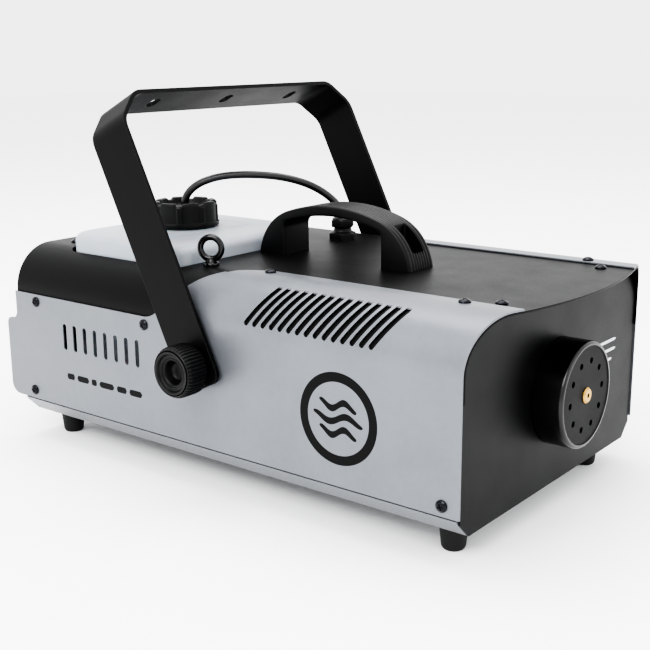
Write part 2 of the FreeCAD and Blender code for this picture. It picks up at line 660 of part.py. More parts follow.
def tank_solid(name, inset):
    """The tank's outer shape, or its hollow: a box with rounded corners and sloped shoulders."""
    body = new_body(name)
    low_x, high_x = f"tank_x + {inset}", f"tank_x + tank_len - {inset}"
    low_y, high_y = f"tank_near + {inset}", f"tank_near + tank_width - {inset}"
    slope = "tank_slope"
    base = [(low_x, low_y), (high_x, low_y), (high_x, high_y), (low_x, high_y)]
    lid = [(f"{low_x} + {slope}", f"{low_y} + {slope}"), (f"{high_x} - {slope}", f"{low_y} + {slope}"),
           (f"{high_x} - {slope}", f"{high_y} - {slope}"), (f"{low_x} + {slope}", f"{high_y} - {slope}")]
    add_pad(body, "XY", [base], f"tank_floor + {inset}", f"tank_shoulder - tank_floor - {inset}")
    loft = body.newObject("PartDesign::AdditiveLoft", name + "_loft")
    loft.Profile = draw(body, "XY", [base], "tank_shoulder")
    loft.Sections = [draw(body, "XY", [lid], f"tank_top - {inset}")]
    loft.Ruled = True
    body.Tip = loft
    rounded(body, f"tank_corner - {inset}",
            lambda edge: abs(edge.tangentAt(edge.FirstParameter).z) > 0.99)
    return body


def make_tank():
    """The blow-moulded tank, its screwed cap with gasket, and the pick-up tube inside."""
    outer = tank_solid("tank_outer", "0")
    inner = tank_solid("tank_hollow", "tank_wall")
    neck = rod("tank_neck", "neck_radius", "neck_height + 4", "cap_x", "cap_side", "tank_top - 4")
    mouth = rod("tank_mouth", "neck_radius - tank_wall", "neck_height + 40", "cap_x", "cap_side",
                "tank_top - 20")
    node("fluid_tank", cut("fluid_tank", fuse("tank_whole", [outer, neck]), [inner, mouth]))

    seat = "tank_top + neck_height"
    node("cap_gasket", cut("cap_gasket", rod("gasket_blank", "neck_radius - 0.2", "gasket",
                                             "cap_x", "cap_side", seat),
                           [rod("gasket_hole", "neck_radius - tank_wall - 2", "gasket", "cap_x",
                                "cap_side", seat)]))
    inside = "neck_radius + fit_gap"
    deck = "neck_height + gasket + fit_gap"
    cap = [("cap_bore", deck), (inside, deck), (inside, "1"), ("cap_radius", "1"),
           ("cap_radius", "4"), ("cap_radius - 1", "4.5"), ("cap_radius - 1", "cap_height - 1.5"),
           ("cap_radius - 2.5", "cap_height", "1.5", 1),
           ("cap_radius - 6", "cap_height"), ("cap_radius - 7", "cap_height - cap_recess"),
           ("cap_bore", "cap_height - cap_recess")]
    node("tank_cap", place(turned("tank_cap", cap), "cap_x", "cap_side", "tank_top"))
    grommet_top = "cap_height - cap_recess + 1"
    grommet = turned("hose_grommet", [
        ("hose_radius - 1", f"{deck} - 2"), ("cap_bore - running_gap", f"{deck} - 2"),
        ("cap_bore - running_gap", grommet_top), ("hose_radius - 1", grommet_top)])
    node("hose_grommet", place(grommet, "cap_x", "cap_side", "tank_top"))
    pick = cut("pickup_tube", rod("pickup_blank", "hose_radius", f"tank_top + {deck} - 18 - tank_floor",
                                  "cap_x", "cap_side", "tank_floor + 16"),
               [rod("pickup_bore", "hose_radius - 1", "200", "cap_x", "cap_side", "tank_floor")])
    node("pickup_tube", pick)
    strainer = turned("strainer", [("0", "0"), ("7", "0"), ("7", "10"), ("hose_radius", "12"),
                                   ("0", "12")])
    node("strainer", place(strainer, "cap_x", "cap_side", "tank_floor + 4"))


def make_gland():
    """The gland that takes the hose through the top cover, and its nut underneath."""
    bore = "hose_radius + 0.3"
    body = turned("hose_gland", [
        ("hose_radius - 1", "-12"), ("gland_neck", "-12"), ("gland_neck", "0"),
        ("gland_base", "0"), ("gland_base", "5"), ("gland_base - 1.5", "6.5"),
        ("gland_neck", "6.5"), ("gland_neck", "10"), ("gland_nut", "11"), ("gland_nut", "16.5"),
        ("gland_nut - 2", "18"), (f"{bore} + 1.5", "18"), (bore, "15"), (bore, "8"),
        ("hose_radius - 1", "8")])
    node("hose_gland", place(body, "gland_x", "gland_side", "inner_top"))
    nut = turned("gland_locknut", [("gland_neck + 0.05", "0"), ("gland_neck + 4", "0"),
                                   ("gland_neck + 4", "4"), ("gland_neck + 0.05", "4")])
    node("gland_locknut", place(nut, "gland_x", "gland_side", "under - 4"))


# The hose's route: how far along the line from cap to gland, and how far over the top cover.
HOSE_ROUTE = [(0.0, 30.5), (0.0, 35.5), (4.0, 42.0), (10.5, 47.2), (19.5, 51.0), (31.0, 53.6),
              (46.0, 54.4), (62.0, 53.8), (79.0, 51.8), (96.0, 47.2), (109.0, 41.0),
              (119.0, 33.5), (125.5, 26.0), (128.0, 18.5), (128.0, 8.0)]


def rounded_path(points):
    """Straight runs joined by tangent arcs, each as large as its two runs allow."""
    edges, start = [], points[0]
    for before, corner, after in zip(points, points[1:], points[2:]):
        into, out = corner - before, after - corner
        half_turn = into.getAngle(out) / 2
        reach = 0.45 * min(into.Length, out.Length)
        print(f"bend {math.degrees(2 * half_turn):.0f} deg, radius {reach / math.tan(half_turn):.1f}")
        first = corner - into.normalize() * reach
        last = corner + out.normalize() * reach
        radius = reach / math.tan(half_turn)
        inward = (out - into).normalize()
        middle = corner + inward * (radius / math.cos(half_turn) - radius)
        edges.append(Part.LineSegment(start, first).toShape())
        edges.append(Part.Arc(first, middle, last).toShape())
        start = last
    edges.append(Part.LineSegment(start, points[-1]).toShape())
    return Part.Wire(edges)


def tube(name, points, radius):
    """A round tube along a route."""
    path = rounded_path(points)
    start = Part.Circle(points[0], points[1] - points[0], radius).toShape()
    shape = path.makePipeShell([Part.Wire([start])], True, False)
    feature = doc.addObject("Part::Feature", name)
    feature.Shape = shape
    print(f"{name}: length {path.Length:.1f}, volume {shape.Volume:.0f}, "
          f"section x length {math.pi * radius ** 2 * path.Length:.0f}")
    return node(name, feature)


def make_hoses():
    """The hose outside, from cap to gland, and the two hoses inside the case."""
    cap = V(value("cap_x"), value("cap_side"), 0)
    gland = V(value("gland_x"), value("gland_side"), 0)
    along = gland - cap
    scale = along.Length / HOSE_ROUTE[-1][0]
    along.normalize()
    top = value("tank_top + cap_height - cap_recess + 1")
    seat = value("inner_top + 8")
    cover = value("inner_top")
    route = [cap + along * distance * scale + V(0, 0, cover + height)
             for distance, height in HOSE_ROUTE]
    route[0].z = top
    route[-1].z = seat
    tube("fluid_hose", route, value("hose_radius"))
    pump = V(value("pump_x"), value("pump_side"), value("pump_height"))
    spigot = value("pump_len / 2 + 16")
    suction = [V(gland.x, gland.y, value("inner_top - 12")), V(gland.x, gland.y, 118),
               V(gland.x - 4, gland.y + 7, 88), V(gland.x - 18, pump.y - 5, 66),
               V(gland.x - 36, pump.y, pump.z), V(pump.x + spigot, pump.y, pump.z)]
    tube("suction_hose", suction, value("hose_radius"))
    outlet = V(pump.x - value("pump_len / 2 + 10"), pump.y, pump.z + 16)
    heater = V(value("block_x - 18"), 0, value("nozzle_height"))
    pressure = [outlet, outlet + V(0, 0, 22), outlet + V(16, 0, 42), V(pump.x + 10, pump.y - 4, 122),
                V(pump.x + 58, pump.y - 24, 116), V(heater.x - 34, heater.y + 26, 96),
                V(heater.x - 18, heater.y, heater.z), heater]
    tube("pressure_hose", pressure, value("hose_radius"))


def make_pump():
    """The vibratory pump with its coil, spigots, bracket and rubber mounts."""
    body = rod("pump_body", "pump_radius * 0.55", "pump_len + 12", "pump_x - pump_len / 2 - 6",
               "pump_side", "pump_height", **TO_FRONT)
    coil = block("pump_coil", "pump_x - pump_len / 2 + 8", "pump_side - pump_radius",
                 "pump_height - pump_radius", "pump_len - 16", "2 * pump_radius", "2 * pump_radius")
    inlet = rod("pump_inlet", "2.6", "14", "pump_x + pump_len / 2 + 2", "pump_side", "pump_height",
                **TO_FRONT)
    arm = rod("pump_arm", "4", "12", "pump_x - pump_len / 2 - 14", "pump_side", "pump_height",
              **TO_FRONT)
    riser = rod("pump_riser", "2.6", "16", "pump_x - pump_len / 2 - 10", "pump_side", "pump_height")
    node("pump", fuse("pump", [body, coil, inlet, arm, riser]))
    floor = "(foot_height + skin)"
    mounts = [rod(f"pump_mount_{number}", "7", "6", f"pump_x + {offset}", "pump_side", floor)
              for number, offset in enumerate((-15, 15))]
    node("pump_mounts", group("pump_mounts", mounts))
    node("pump_bracket", block("pump_bracket", "pump_x - 26", "pump_side - pump_radius",
                               f"{floor} + 6", "52", "2 * pump_radius",
                               f"pump_height - pump_radius - {floor} - 6"))


def make_electronics():
    """The control board on its bracket, with the larger parts that stand on it."""
    floor = "foot_height + skin"
    back = "-board_side - board_thick - standoff"
    upright = block("board_upright", "board_x", f"{back} - bracket_sheet", floor, "board_len",
                    "bracket_sheet", "board_low + board_height - foot_height - skin")
    ledge = block("board_ledge", "board_x", f"{back} - bracket_sheet", floor, "board_len", "18",
                  "bracket_sheet")
    node("board_bracket", fuse("board_bracket", [upright, ledge]))
    posts = [rod(f"standoff_{number}", "3", "standoff", x, back, z, **TO_FAR)
             for number, (x, z) in enumerate(
                 (x, z) for x in ("board_x + 6", "board_x + board_len - 6")
                 for z in ("board_low + 6", "board_low + board_height - 6"))]
    node("board_standoffs", group("board_standoffs", posts))
    node("control_board", block("control_board", "board_x", "-board_side - board_thick",
                                "board_low", "board_len", "board_thick", "board_height"))
    relay = block("relay", "board_x + 14", "-board_side", "board_low + 12", "20", "16", "28")
    node("relay", relay)
    node("transformer", block("transformer", "board_x + 44", "-board_side", "board_low + 14", "30",
                              "22", "34"))
    node("terminal_block", block("terminal_block", "board_x + 82", "-board_side", "board_low + 8",
                                 "10", "12", "46"))
    receiver = block("receiver_module", "panel_rear + panel", "-62", "94", "6", "34", "24")
    node("receiver_module", receiver)


def make_rear_fittings():
    """The mains inlet, power rocker, fuse, remote socket and lamp on the rear panel."""
    flange = "panel_rear - 2"
    shell = fuse("inlet_shell", [
        block("inlet_flange", flange, "inlet_side - 17", "inlet_height - 12.5", "2", "34", "25"),
        block("inlet_body", flange, "inlet_side - 14", "inlet_height - 10", "24", "28", "20")])
    well = block("inlet_well", "panel_rear - 5", "inlet_side - 12.2", "inlet_height - 8.2", "20",
                 "24.4", "16.4")
    pins = [block(f"inlet_pin_{number}", "panel_rear", f"inlet_side + {side} - 1",
                  f"inlet_height + {height} - 2", "18", "2", "4")
            for number, (side, height) in enumerate(((-7, -1.5), (0, 2), (7, -1.5)))]
    node("power_inlet", fuse("power_inlet", [cut("inlet_hollow", shell, [well]), *pins]))

    frame = fuse("rocker_shell", [
        block("rocker_flange", flange, "inlet_side - 15.5", "rocker_height - 12.5", "2", "31", "25"),
        block("rocker_body", flange, "inlet_side - 13", "rocker_height - 10", "22", "26", "20")])
    pit = block("rocker_pit", "panel_rear - 5", "inlet_side - 11.4", "rocker_height - 8.4", "18",
                "22.8", "16.8")
    socket = rod("rocker_socket", "1.5 + running_gap", "18.8", "panel_rear", "inlet_side",
                 "rocker_height - 9.4")
    node("rocker_frame", cut("rocker_frame", frame, [pit, socket]))
    paddle = prism("rocker_paddle", "XY", [[
        ("-4.5", "-10.4"), ("-2.4", "0"), ("-4.5", "10.4"), ("3", "10.2"), ("8", "3"), ("8", "-3"),
        ("3", "-10.2")]], "-7.8", "15.6")
    place(paddle, "panel_rear", "inlet_side", "rocker_height")
    trunnion = rod("rocker_trunnion", "1.5", "18.4", "panel_rear", "inlet_side",
                   "rocker_height - 9.2")
    node("power_rocker", fuse("power_rocker", [paddle, trunnion]))

    holder = turned("fuse_holder", [("5", "-2"), ("9", "-2"), ("9", "0"), ("6", "0"), ("6", "30"),
                                    ("0", "30"), ("0", "28"), ("5", "28")])
    node("fuse_holder", place(holder, "panel_rear", "fuse_side", "inlet_height", **TO_FRONT))
    cap = turned("fuse_cap_blank", [("0", "-9"), ("6", "-9"), ("6.8", "-8.2"), ("6.8", "-2.3"),
                              ("5 - running_gap", "-2.3"), ("5 - running_gap", "12"), ("0", "12")])
    slot = block("fuse_slot", "-1", "-6", "-10", "2", "12", "2.4")
    keyed = cut("fuse_cap", cap, [slot])
    node("fuse_cap", place(keyed, "panel_rear", "fuse_side", "inlet_height", **TO_FRONT))

    socket = turned("remote_socket", [("0", "-1"), ("7", "-1"), ("7", "-2.5"), ("12", "-2.5"),
                                      ("12", "0"), ("9", "0"), ("9", "18"), ("0", "18")])
    node("remote_socket", place(socket, "panel_rear", "socket_side", "inlet_height", **TO_FRONT))
    lamp = turned("status_lamp", [("0", "-3.5"), ("2.2", "-3.2", "4", 1), ("3.6", "-2"),
                                  ("5.6", "-2"), ("5.6", "0"), ("4", "0"), ("4", "12"), ("0", "12")])
    node("status_lamp", place(lamp, "panel_rear", "fuse_side", "rocker_height", **TO_FRONT))


# ---------------------------------------------------------------- handle, yoke and eye bolt

def grip_screw_places():
    """Where the two handle screws stand along the case."""
    return [f"grip_x + {side} * (grip_half - grip_foot / 2 + 1)" for side in (-1, 1)]


def grip_loop():
    """The handle's arch: corner arcs that run into one long crown, over the hand opening."""
    foot = "(grip_corner - sqrt(grip_corner^2 - grip_drop^2))"
    crown_low = "grip_high - crown"
    lean = "(grip_half - grip_corner) / (crown - grip_corner)"
    lift = "(crown - grip_high - grip_drop) / (crown - grip_corner)"
    join_x = f"grip_half - grip_corner + grip_corner * {lean}"
    join_z = f"-grip_drop + grip_corner * {lift}"
    low_x = f"grip_half - {foot}"
    inner = "crown - grip_thick"
    reach = "grip_half - grip_foot - grip_inner_corner"
    centre_z = f"{crown_low} + sqrt(({inner} - grip_inner_corner)^2 - ({reach})^2)"
    turn_x = f"{reach} + grip_inner_corner * ({reach}) / ({inner} - grip_inner_corner)"
    turn_z = (f"{centre_z} + grip_inner_corner * ({centre_z} - ({crown_low}))"
              f" / ({inner} - grip_inner_corner)")
    edge = "grip_half - grip_foot"
    base = "inner_top"
    return [
        (f"grip_x - ({low_x})", base, "grip_corner", 1), (f"grip_x - ({edge})", base),
        (f"grip_x - ({edge})", f"{base} + {centre_z}"),
        (f"grip_x - ({turn_x})", f"{base} + {turn_z}", "grip_inner_corner", -1),
        (f"grip_x + {turn_x}", f"{base} + {turn_z}", inner, -1),
        (f"grip_x + {edge}", f"{base} + {centre_z}", "grip_inner_corner", -1),
        (f"grip_x + {edge}", base), (f"grip_x + {low_x}", base),
        (f"grip_x + {join_x}", f"{base} + {join_z}", "grip_corner", 1),
        (f"grip_x - ({join_x})", f"{base} + {join_z}", "crown", 1)]


def make_handle():
    """The carrying handle on top, with a screw pocket over each foot."""
    arch_body = prism("grip_arch", "XZ", [grip_loop()], "-grip_side - grip_wide / 2",
                      "grip_wide")
    top = value("inner_top")
    rounded(arch_body, "grip_round",
            lambda edge: edge.CenterOfMass.z > top + 4
            and abs(abs(edge.CenterOfMass.y - value("grip_side")) - value("grip_wide / 2")) < 0.1)
    tools = []
    for number, x in enumerate(grip_screw_places()):
        tools.append(block(f"grip_pocket_{number}", f"{x} - pocket_long / 2", "grip_side - pocket_wide / 2",
                           "inner_top + pocket_floor", "pocket_long", "pocket_wide", "40"))
        tools.append(rod(f"grip_bore_{number}", "screw_shank + screw_clear", "40", x, "grip_side",
                         "inner_top - 5"))
    node("carry_handle", cut("carry_handle", arch_body, tools))
    screws = [screw(f"grip_screw_{number}", x, "grip_side", "inner_top + pocket_floor", {},
                    length="pocket_floor + 6")
              for number, x in enumerate(grip_screw_places())]
    node("handle_screws", group("handle_screws", screws))


def make_yoke():
    """The folded steel yoke, drawn upright about its pivot and then leaned back."""
    bar = "yoke_leg + yoke_bend"
    slant = "yoke_sheet * (sqrt(2) - 1)"
    loop = [
        ("-yoke_outside", "-yoke_end"), ("-yoke_face", "-yoke_end"),
        ("-yoke_face", f"yoke_leg - {slant} / 2"),
        (f"-yoke_face + yoke_bend - {slant} / 2", f"{bar} - yoke_sheet / 2"),
        (f"yoke_face - yoke_bend + {slant} / 2", f"{bar} - yoke_sheet / 2"),
        ("yoke_face", f"yoke_leg - {slant} / 2"), ("yoke_face", "-yoke_end"),
        ("yoke_outside", "-yoke_end"), ("yoke_outside", f"yoke_leg + {slant} / 2"),
        (f"yoke_outside - yoke_bend - {slant} / 2", f"{bar} + yoke_sheet / 2"),
        (f"-yoke_outside + yoke_bend + {slant} / 2", f"{bar} + yoke_sheet / 2"),
        ("-yoke_outside", f"yoke_leg + {slant} / 2")]
    strap = prism("yoke_strap", "YZ", [loop], "-yoke_width / 2", "yoke_width")
    limit = value("yoke_outside + yoke_leg - yoke_sheet / 2")

    def is_bend(edge):
        """Whether an edge is one of the strap's bends."""
        return (abs(edge.tangentAt(edge.FirstParameter).x) > 0.99
                and edge.CenterOfMass.z > value("yoke_leg - yoke_sheet"))

    def reach_of(edge):
        """How far out and up a bend's edge is."""
        return abs(edge.CenterOfMass.y) + edge.CenterOfMass.z

    rounded(strap, "yoke_curl + yoke_sheet", lambda edge: is_bend(edge) and reach_of(edge) > limit)
    rounded(strap, "yoke_curl", lambda edge: is_bend(edge) and reach_of(edge) < limit)
    rounded(strap, "yoke_round",
            lambda edge: abs(edge.CenterOfMass.z + value("yoke_end")) < 0.1
            and abs(edge.tangentAt(edge.FirstParameter).y) > 0.99)
    bore = rod("yoke_bore", "stud_radius + running_gap", "body_width * 2", "0", "body_width", "0",
               **TO_NEAR)
    reach = "(yoke_slot_long - yoke_slot_wide) / 2"
    end = "yoke_slot_wide / 2 * 1.0001"
    slots = prism("yoke_slots", "XY", [[
        (f"-({reach})", f"{side} * yoke_slot_spread - yoke_slot_wide / 2", end, 1),
        (reach, f"{side} * yoke_slot_spread - yoke_slot_wide / 2"),
        (reach, f"{side} * yoke_slot_spread + yoke_slot_wide / 2", end, 1),
        (f"-({reach})", f"{side} * yoke_slot_spread + yoke_slot_wide / 2")]
        for side in (-1, 0, 1)], "yoke_leg", "60")
    leaned = cut("yoke", strap, [bore, slots])
    node("yoke", place(leaned, "pivot_x", "0", "pivot_height", (0, 1, 0), -value("yoke_lean")))


def make_knobs():
    """The two clamp knobs with their studs, the washers each side of the yoke, and the nuts."""
    knob = [("stud_radius", "0"), ("knob_boss", "0"), ("knob_boss", "2"), ("knob_radius", "3"),
            ("knob_radius", "knob_thick - 2"), ("knob_radius - 2", "knob_thick", "2", 1),
            ("knob_hollow + 1", "knob_thick"), ("knob_hollow", "knob_thick - knob_step"),
            ("knob_funnel", "knob_thick - knob_step"), ("knob_eye", "knob_thick - knob_sink"),
            ("0", "knob_thick - knob_sink"), ("0", "knob_thick - knob_sink - 2"),
            ("stud_radius", "knob_thick - knob_sink - 2")]
    stud = [("0", "knob_thick - knob_sink - 2"), ("0", "knob_thick - knob_sink - stud_len"),
            ("stud_radius", "knob_thick - knob_sink - stud_len"),
            ("stud_radius", "knob_thick - knob_sink - 2")]
    hole = "stud_radius + running_gap"
    washer = [(hole, "-washer_sheet"), ("washer_radius", "-washer_sheet"), ("washer_radius", "0"),
              (hole, "0")]
    spacer = [(hole, "half"), ("knob_boss", "half"), ("knob_boss", "yoke_face - 0.2"),
              (hole, "yoke_face - 0.2")]
    nut_face = "inner - skin"
    boss = [(hole, f"{nut_face} - boss_len"), ("boss_radius", f"{nut_face} - boss_len"),
            ("boss_radius", nut_face), (hole, nut_face)]
    clamp = [(f"{hole} + 1", nut_face), ("boss_radius", nut_face),
             ("boss_radius", "half - skin"), (f"{hole} + 1", "half - skin")]
    spacers, washers, bosses, plates = [], [], [], []
    for side, way in (("near", TO_NEAR), ("far", TO_FAR)):
        sign = -1 if side == "near" else 1
        at = ("pivot_x", f"{sign} * knob_face", "pivot_height")
        node(f"knob_{side}", place(turned(f"knob_{side}", knob), *at, **way))
        node(f"knob_stud_{side}", place(turned(f"knob_stud_{side}", stud), *at, **way))
        washers.append(place(turned(f"knob_washer_{side}", washer), *at, **way))
        middle = ("pivot_x", "0", "pivot_height")
        spacers.append(place(turned(f"pivot_spacer_{side}", spacer), *middle, **way))
        bosses.append(place(turned(f"pivot_nut_{side}", boss), *middle, **way))
        plates.append(place(turned(f"pivot_plate_{side}", clamp), *middle, **way))
    node("knob_washers", group("knob_washers", washers))
    node("pivot_spacers", group("pivot_spacers", spacers))
    node("pivot_nuts", group("pivot_nuts", bosses))
    node("pivot_plates", group("pivot_plates", plates))


def make_eye_bolt():
    """The safety eye on the top cover and its nut underneath."""
    ring = doc.addObject("Part::Torus", "eye_ring")
    bind(ring, "Radius1", "eye_ring")
    bind(ring, "Radius2", "eye_wire")
    place(ring, "0", "0", "eye_height", **TO_NEAR)
    collar = turned("eye_collar", [("0", "0"), ("eye_collar", "0"), ("eye_collar", "1.6"),
                                   ("eye_wire + 1", "eye_height - eye_ring"),
                                   ("0", "eye_height - eye_ring")])
    shank = rod("eye_shank_rod", "eye_shank", "14", "0", "0", "-13")
    bolt = fuse("eye_bolt", [ring, collar, shank])
    node("eye_bolt", place(bolt, "eye_x", "eye_side", "inner_top", (0, 0, 1), value("eye_turn")))
    nut = turned("eye_nut", [("eye_shank + 0.05", "-5"), ("eye_nut", "-5"), ("eye_nut", "-0.3"),
                             ("eye_nut - 1.6", "0"), ("eye_shank + 0.05", "0")])
    node("eye_nut", place(nut, "eye_x", "eye_side", "under"))


# ---------------------------------------------------------------- checks and export

def check_document():
    """Stop if any object failed, or any sub-part has no valid solid."""
    for thing in doc.Objects:
        if "Invalid" in thing.State or "Error" in thing.State:
            raise RuntimeError(f"{thing.Name} failed: {thing.State}")
    for name, thing in nodes.items():
        if thing.Label != name:
            raise RuntimeError(f"{name} is labelled {thing.Label}")
        shape = thing.Shape
        if shape.isNull() or not shape.isValid() or not shape.Solids:
            raise RuntimeError(f"{name} has no valid solid")


def export_nodes():
    """Write each sub-part to its own file."""
    os.makedirs("parts", exist_ok=True)
    for name, thing in nodes.items():
        thing.Shape.exportStep(f"parts/{name}.step")
        box = thing.Shape.BoundBox
        print(f"{name}: {len(thing.Shape.Solids)} solid(s), {thing.Shape.Volume / 1000:.2f} cm3, "
              f"x {box.XMin:.1f}..{box.XMax:.1f}, y {box.YMin:.1f}..{box.YMax:.1f}, "
              f"z {box.ZMin:.1f}..{box.ZMax:.1f}")


def main():
    """Build every sub-part, check the document and write the files."""
    holes = make_screws()
    make_tray(holes)
    make_feet()
    make_side_covers(holes)
    make_top_cover(holes)
    make_panels()
    make_nozzle()
    make_heater()
    make_tank()
    make_gland()
    make_hoses()
    make_pump()
    make_electronics()
    make_rear_fittings()
    make_handle()
    make_yoke()
    make_knobs()
    make_eye_bolt()
    doc.recompute()
    check_document()
    export_nodes()


main()
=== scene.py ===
"""Looks for a stage fog machine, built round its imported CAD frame.

Metres, +X out of the nozzle, +Z up. Every sub-assembly is a class whose fields are its sizes in
millimetres; its methods work out surfaces with numpy and dress them and the CAD nodes.
"""
import logging
import math
from collections.abc import Callable
from dataclasses import dataclass
from enum import Enum

import bmesh
import bpy
import numpy as np
from mathutils import Matrix, Vector


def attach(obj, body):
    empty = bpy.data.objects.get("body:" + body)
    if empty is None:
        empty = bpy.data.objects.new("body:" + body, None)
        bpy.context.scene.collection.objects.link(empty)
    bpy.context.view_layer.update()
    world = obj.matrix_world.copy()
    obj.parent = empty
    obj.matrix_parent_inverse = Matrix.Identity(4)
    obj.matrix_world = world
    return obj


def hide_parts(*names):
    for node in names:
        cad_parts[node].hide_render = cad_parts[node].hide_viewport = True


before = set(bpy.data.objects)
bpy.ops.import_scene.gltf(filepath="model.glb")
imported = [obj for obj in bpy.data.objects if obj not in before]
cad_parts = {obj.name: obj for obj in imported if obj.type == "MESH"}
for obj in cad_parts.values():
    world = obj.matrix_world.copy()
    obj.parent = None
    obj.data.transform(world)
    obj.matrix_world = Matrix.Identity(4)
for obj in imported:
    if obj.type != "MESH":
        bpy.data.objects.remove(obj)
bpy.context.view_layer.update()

log = logging.getLogger("fog_machine")
MM = 0.001
Array = np.ndarray
Inputs = dict[str | int, object]
Pair = tuple[float, float]
Triple = tuple[float, float, float]
Surface = tuple[Array, Array]  # points in millimetres, and quads as rows of point numbers

UP = (0, 0, 1)
DECK = 157.5  # height of the top cover's upper face
CAP_PLACE = (-117.0, -28.0)  # the tank's neck, in plan
FRONT_FACE = 203.4  # where the front panel's outer face lies along X
PROUD = 0.06  # how far printed ink stands off its sheet
FOOT_PLACES = tuple((x, y) for x in (-192.0, 182.0) for y in (-94.0, 94.0))


# ------------------------------------------------------------------ nodes and colours

def linear(code: str) -> tuple[float, float, float, float]:
    """Turn an sRGB hex colour into linear light.

    Each channel c becomes c / 12.92 where it is at most 0.04045, and elsewhere
    ((c + 0.055) / 1.055) to the power 2.4.

    Args:
        code: The colour, such as "#A6A8AB".

    Returns:
        Red, green, blue and an alpha of 1.
    """
    channels = np.array([int(code[at:at + 2], 16) for at in (1, 3, 5)]) / 255
    low, high = channels / 12.92, ((channels + 0.055) / 1.055) ** 2.4
    red, green, blue = np.where(channels <= 0.04045, low, high).tolist()
    return red, green, blue, 1.0


def add_node(tree: bpy.types.NodeTree, kind: str, inputs: Inputs | None = None,
             **settings: object) -> bpy.types.Node:
    """Add one node with its settings, values and links.

    Args:
        tree: The material's node tree.
        kind: Blender's name for the node's type.
        inputs: Socket name or number to a value, or to the output socket that feeds it.
        settings: The node's own attributes.

    Returns:
        The new node.
    """
    node = tree.nodes.new(kind)
    for name, value in settings.items():
        setattr(node, name, value)
    for socket, value in (inputs or {}).items():
        if isinstance(value, bpy.types.NodeSocket):
            tree.links.new(value, node.inputs[socket])
        else:
            node.inputs[socket].default_value = value
    return node


class Pattern(Enum):
    """The relief that a surface was made with."""

    PEEL = "orange peel of a powder coat"
    GRAIN = "fine moulded grain"
    BRUSHED = "lines of brushing or turning"
    CAST = "sand-cast pits"
    WOVEN = "woven cloth"
    SMOOTH = "almost smooth, with slow waves"


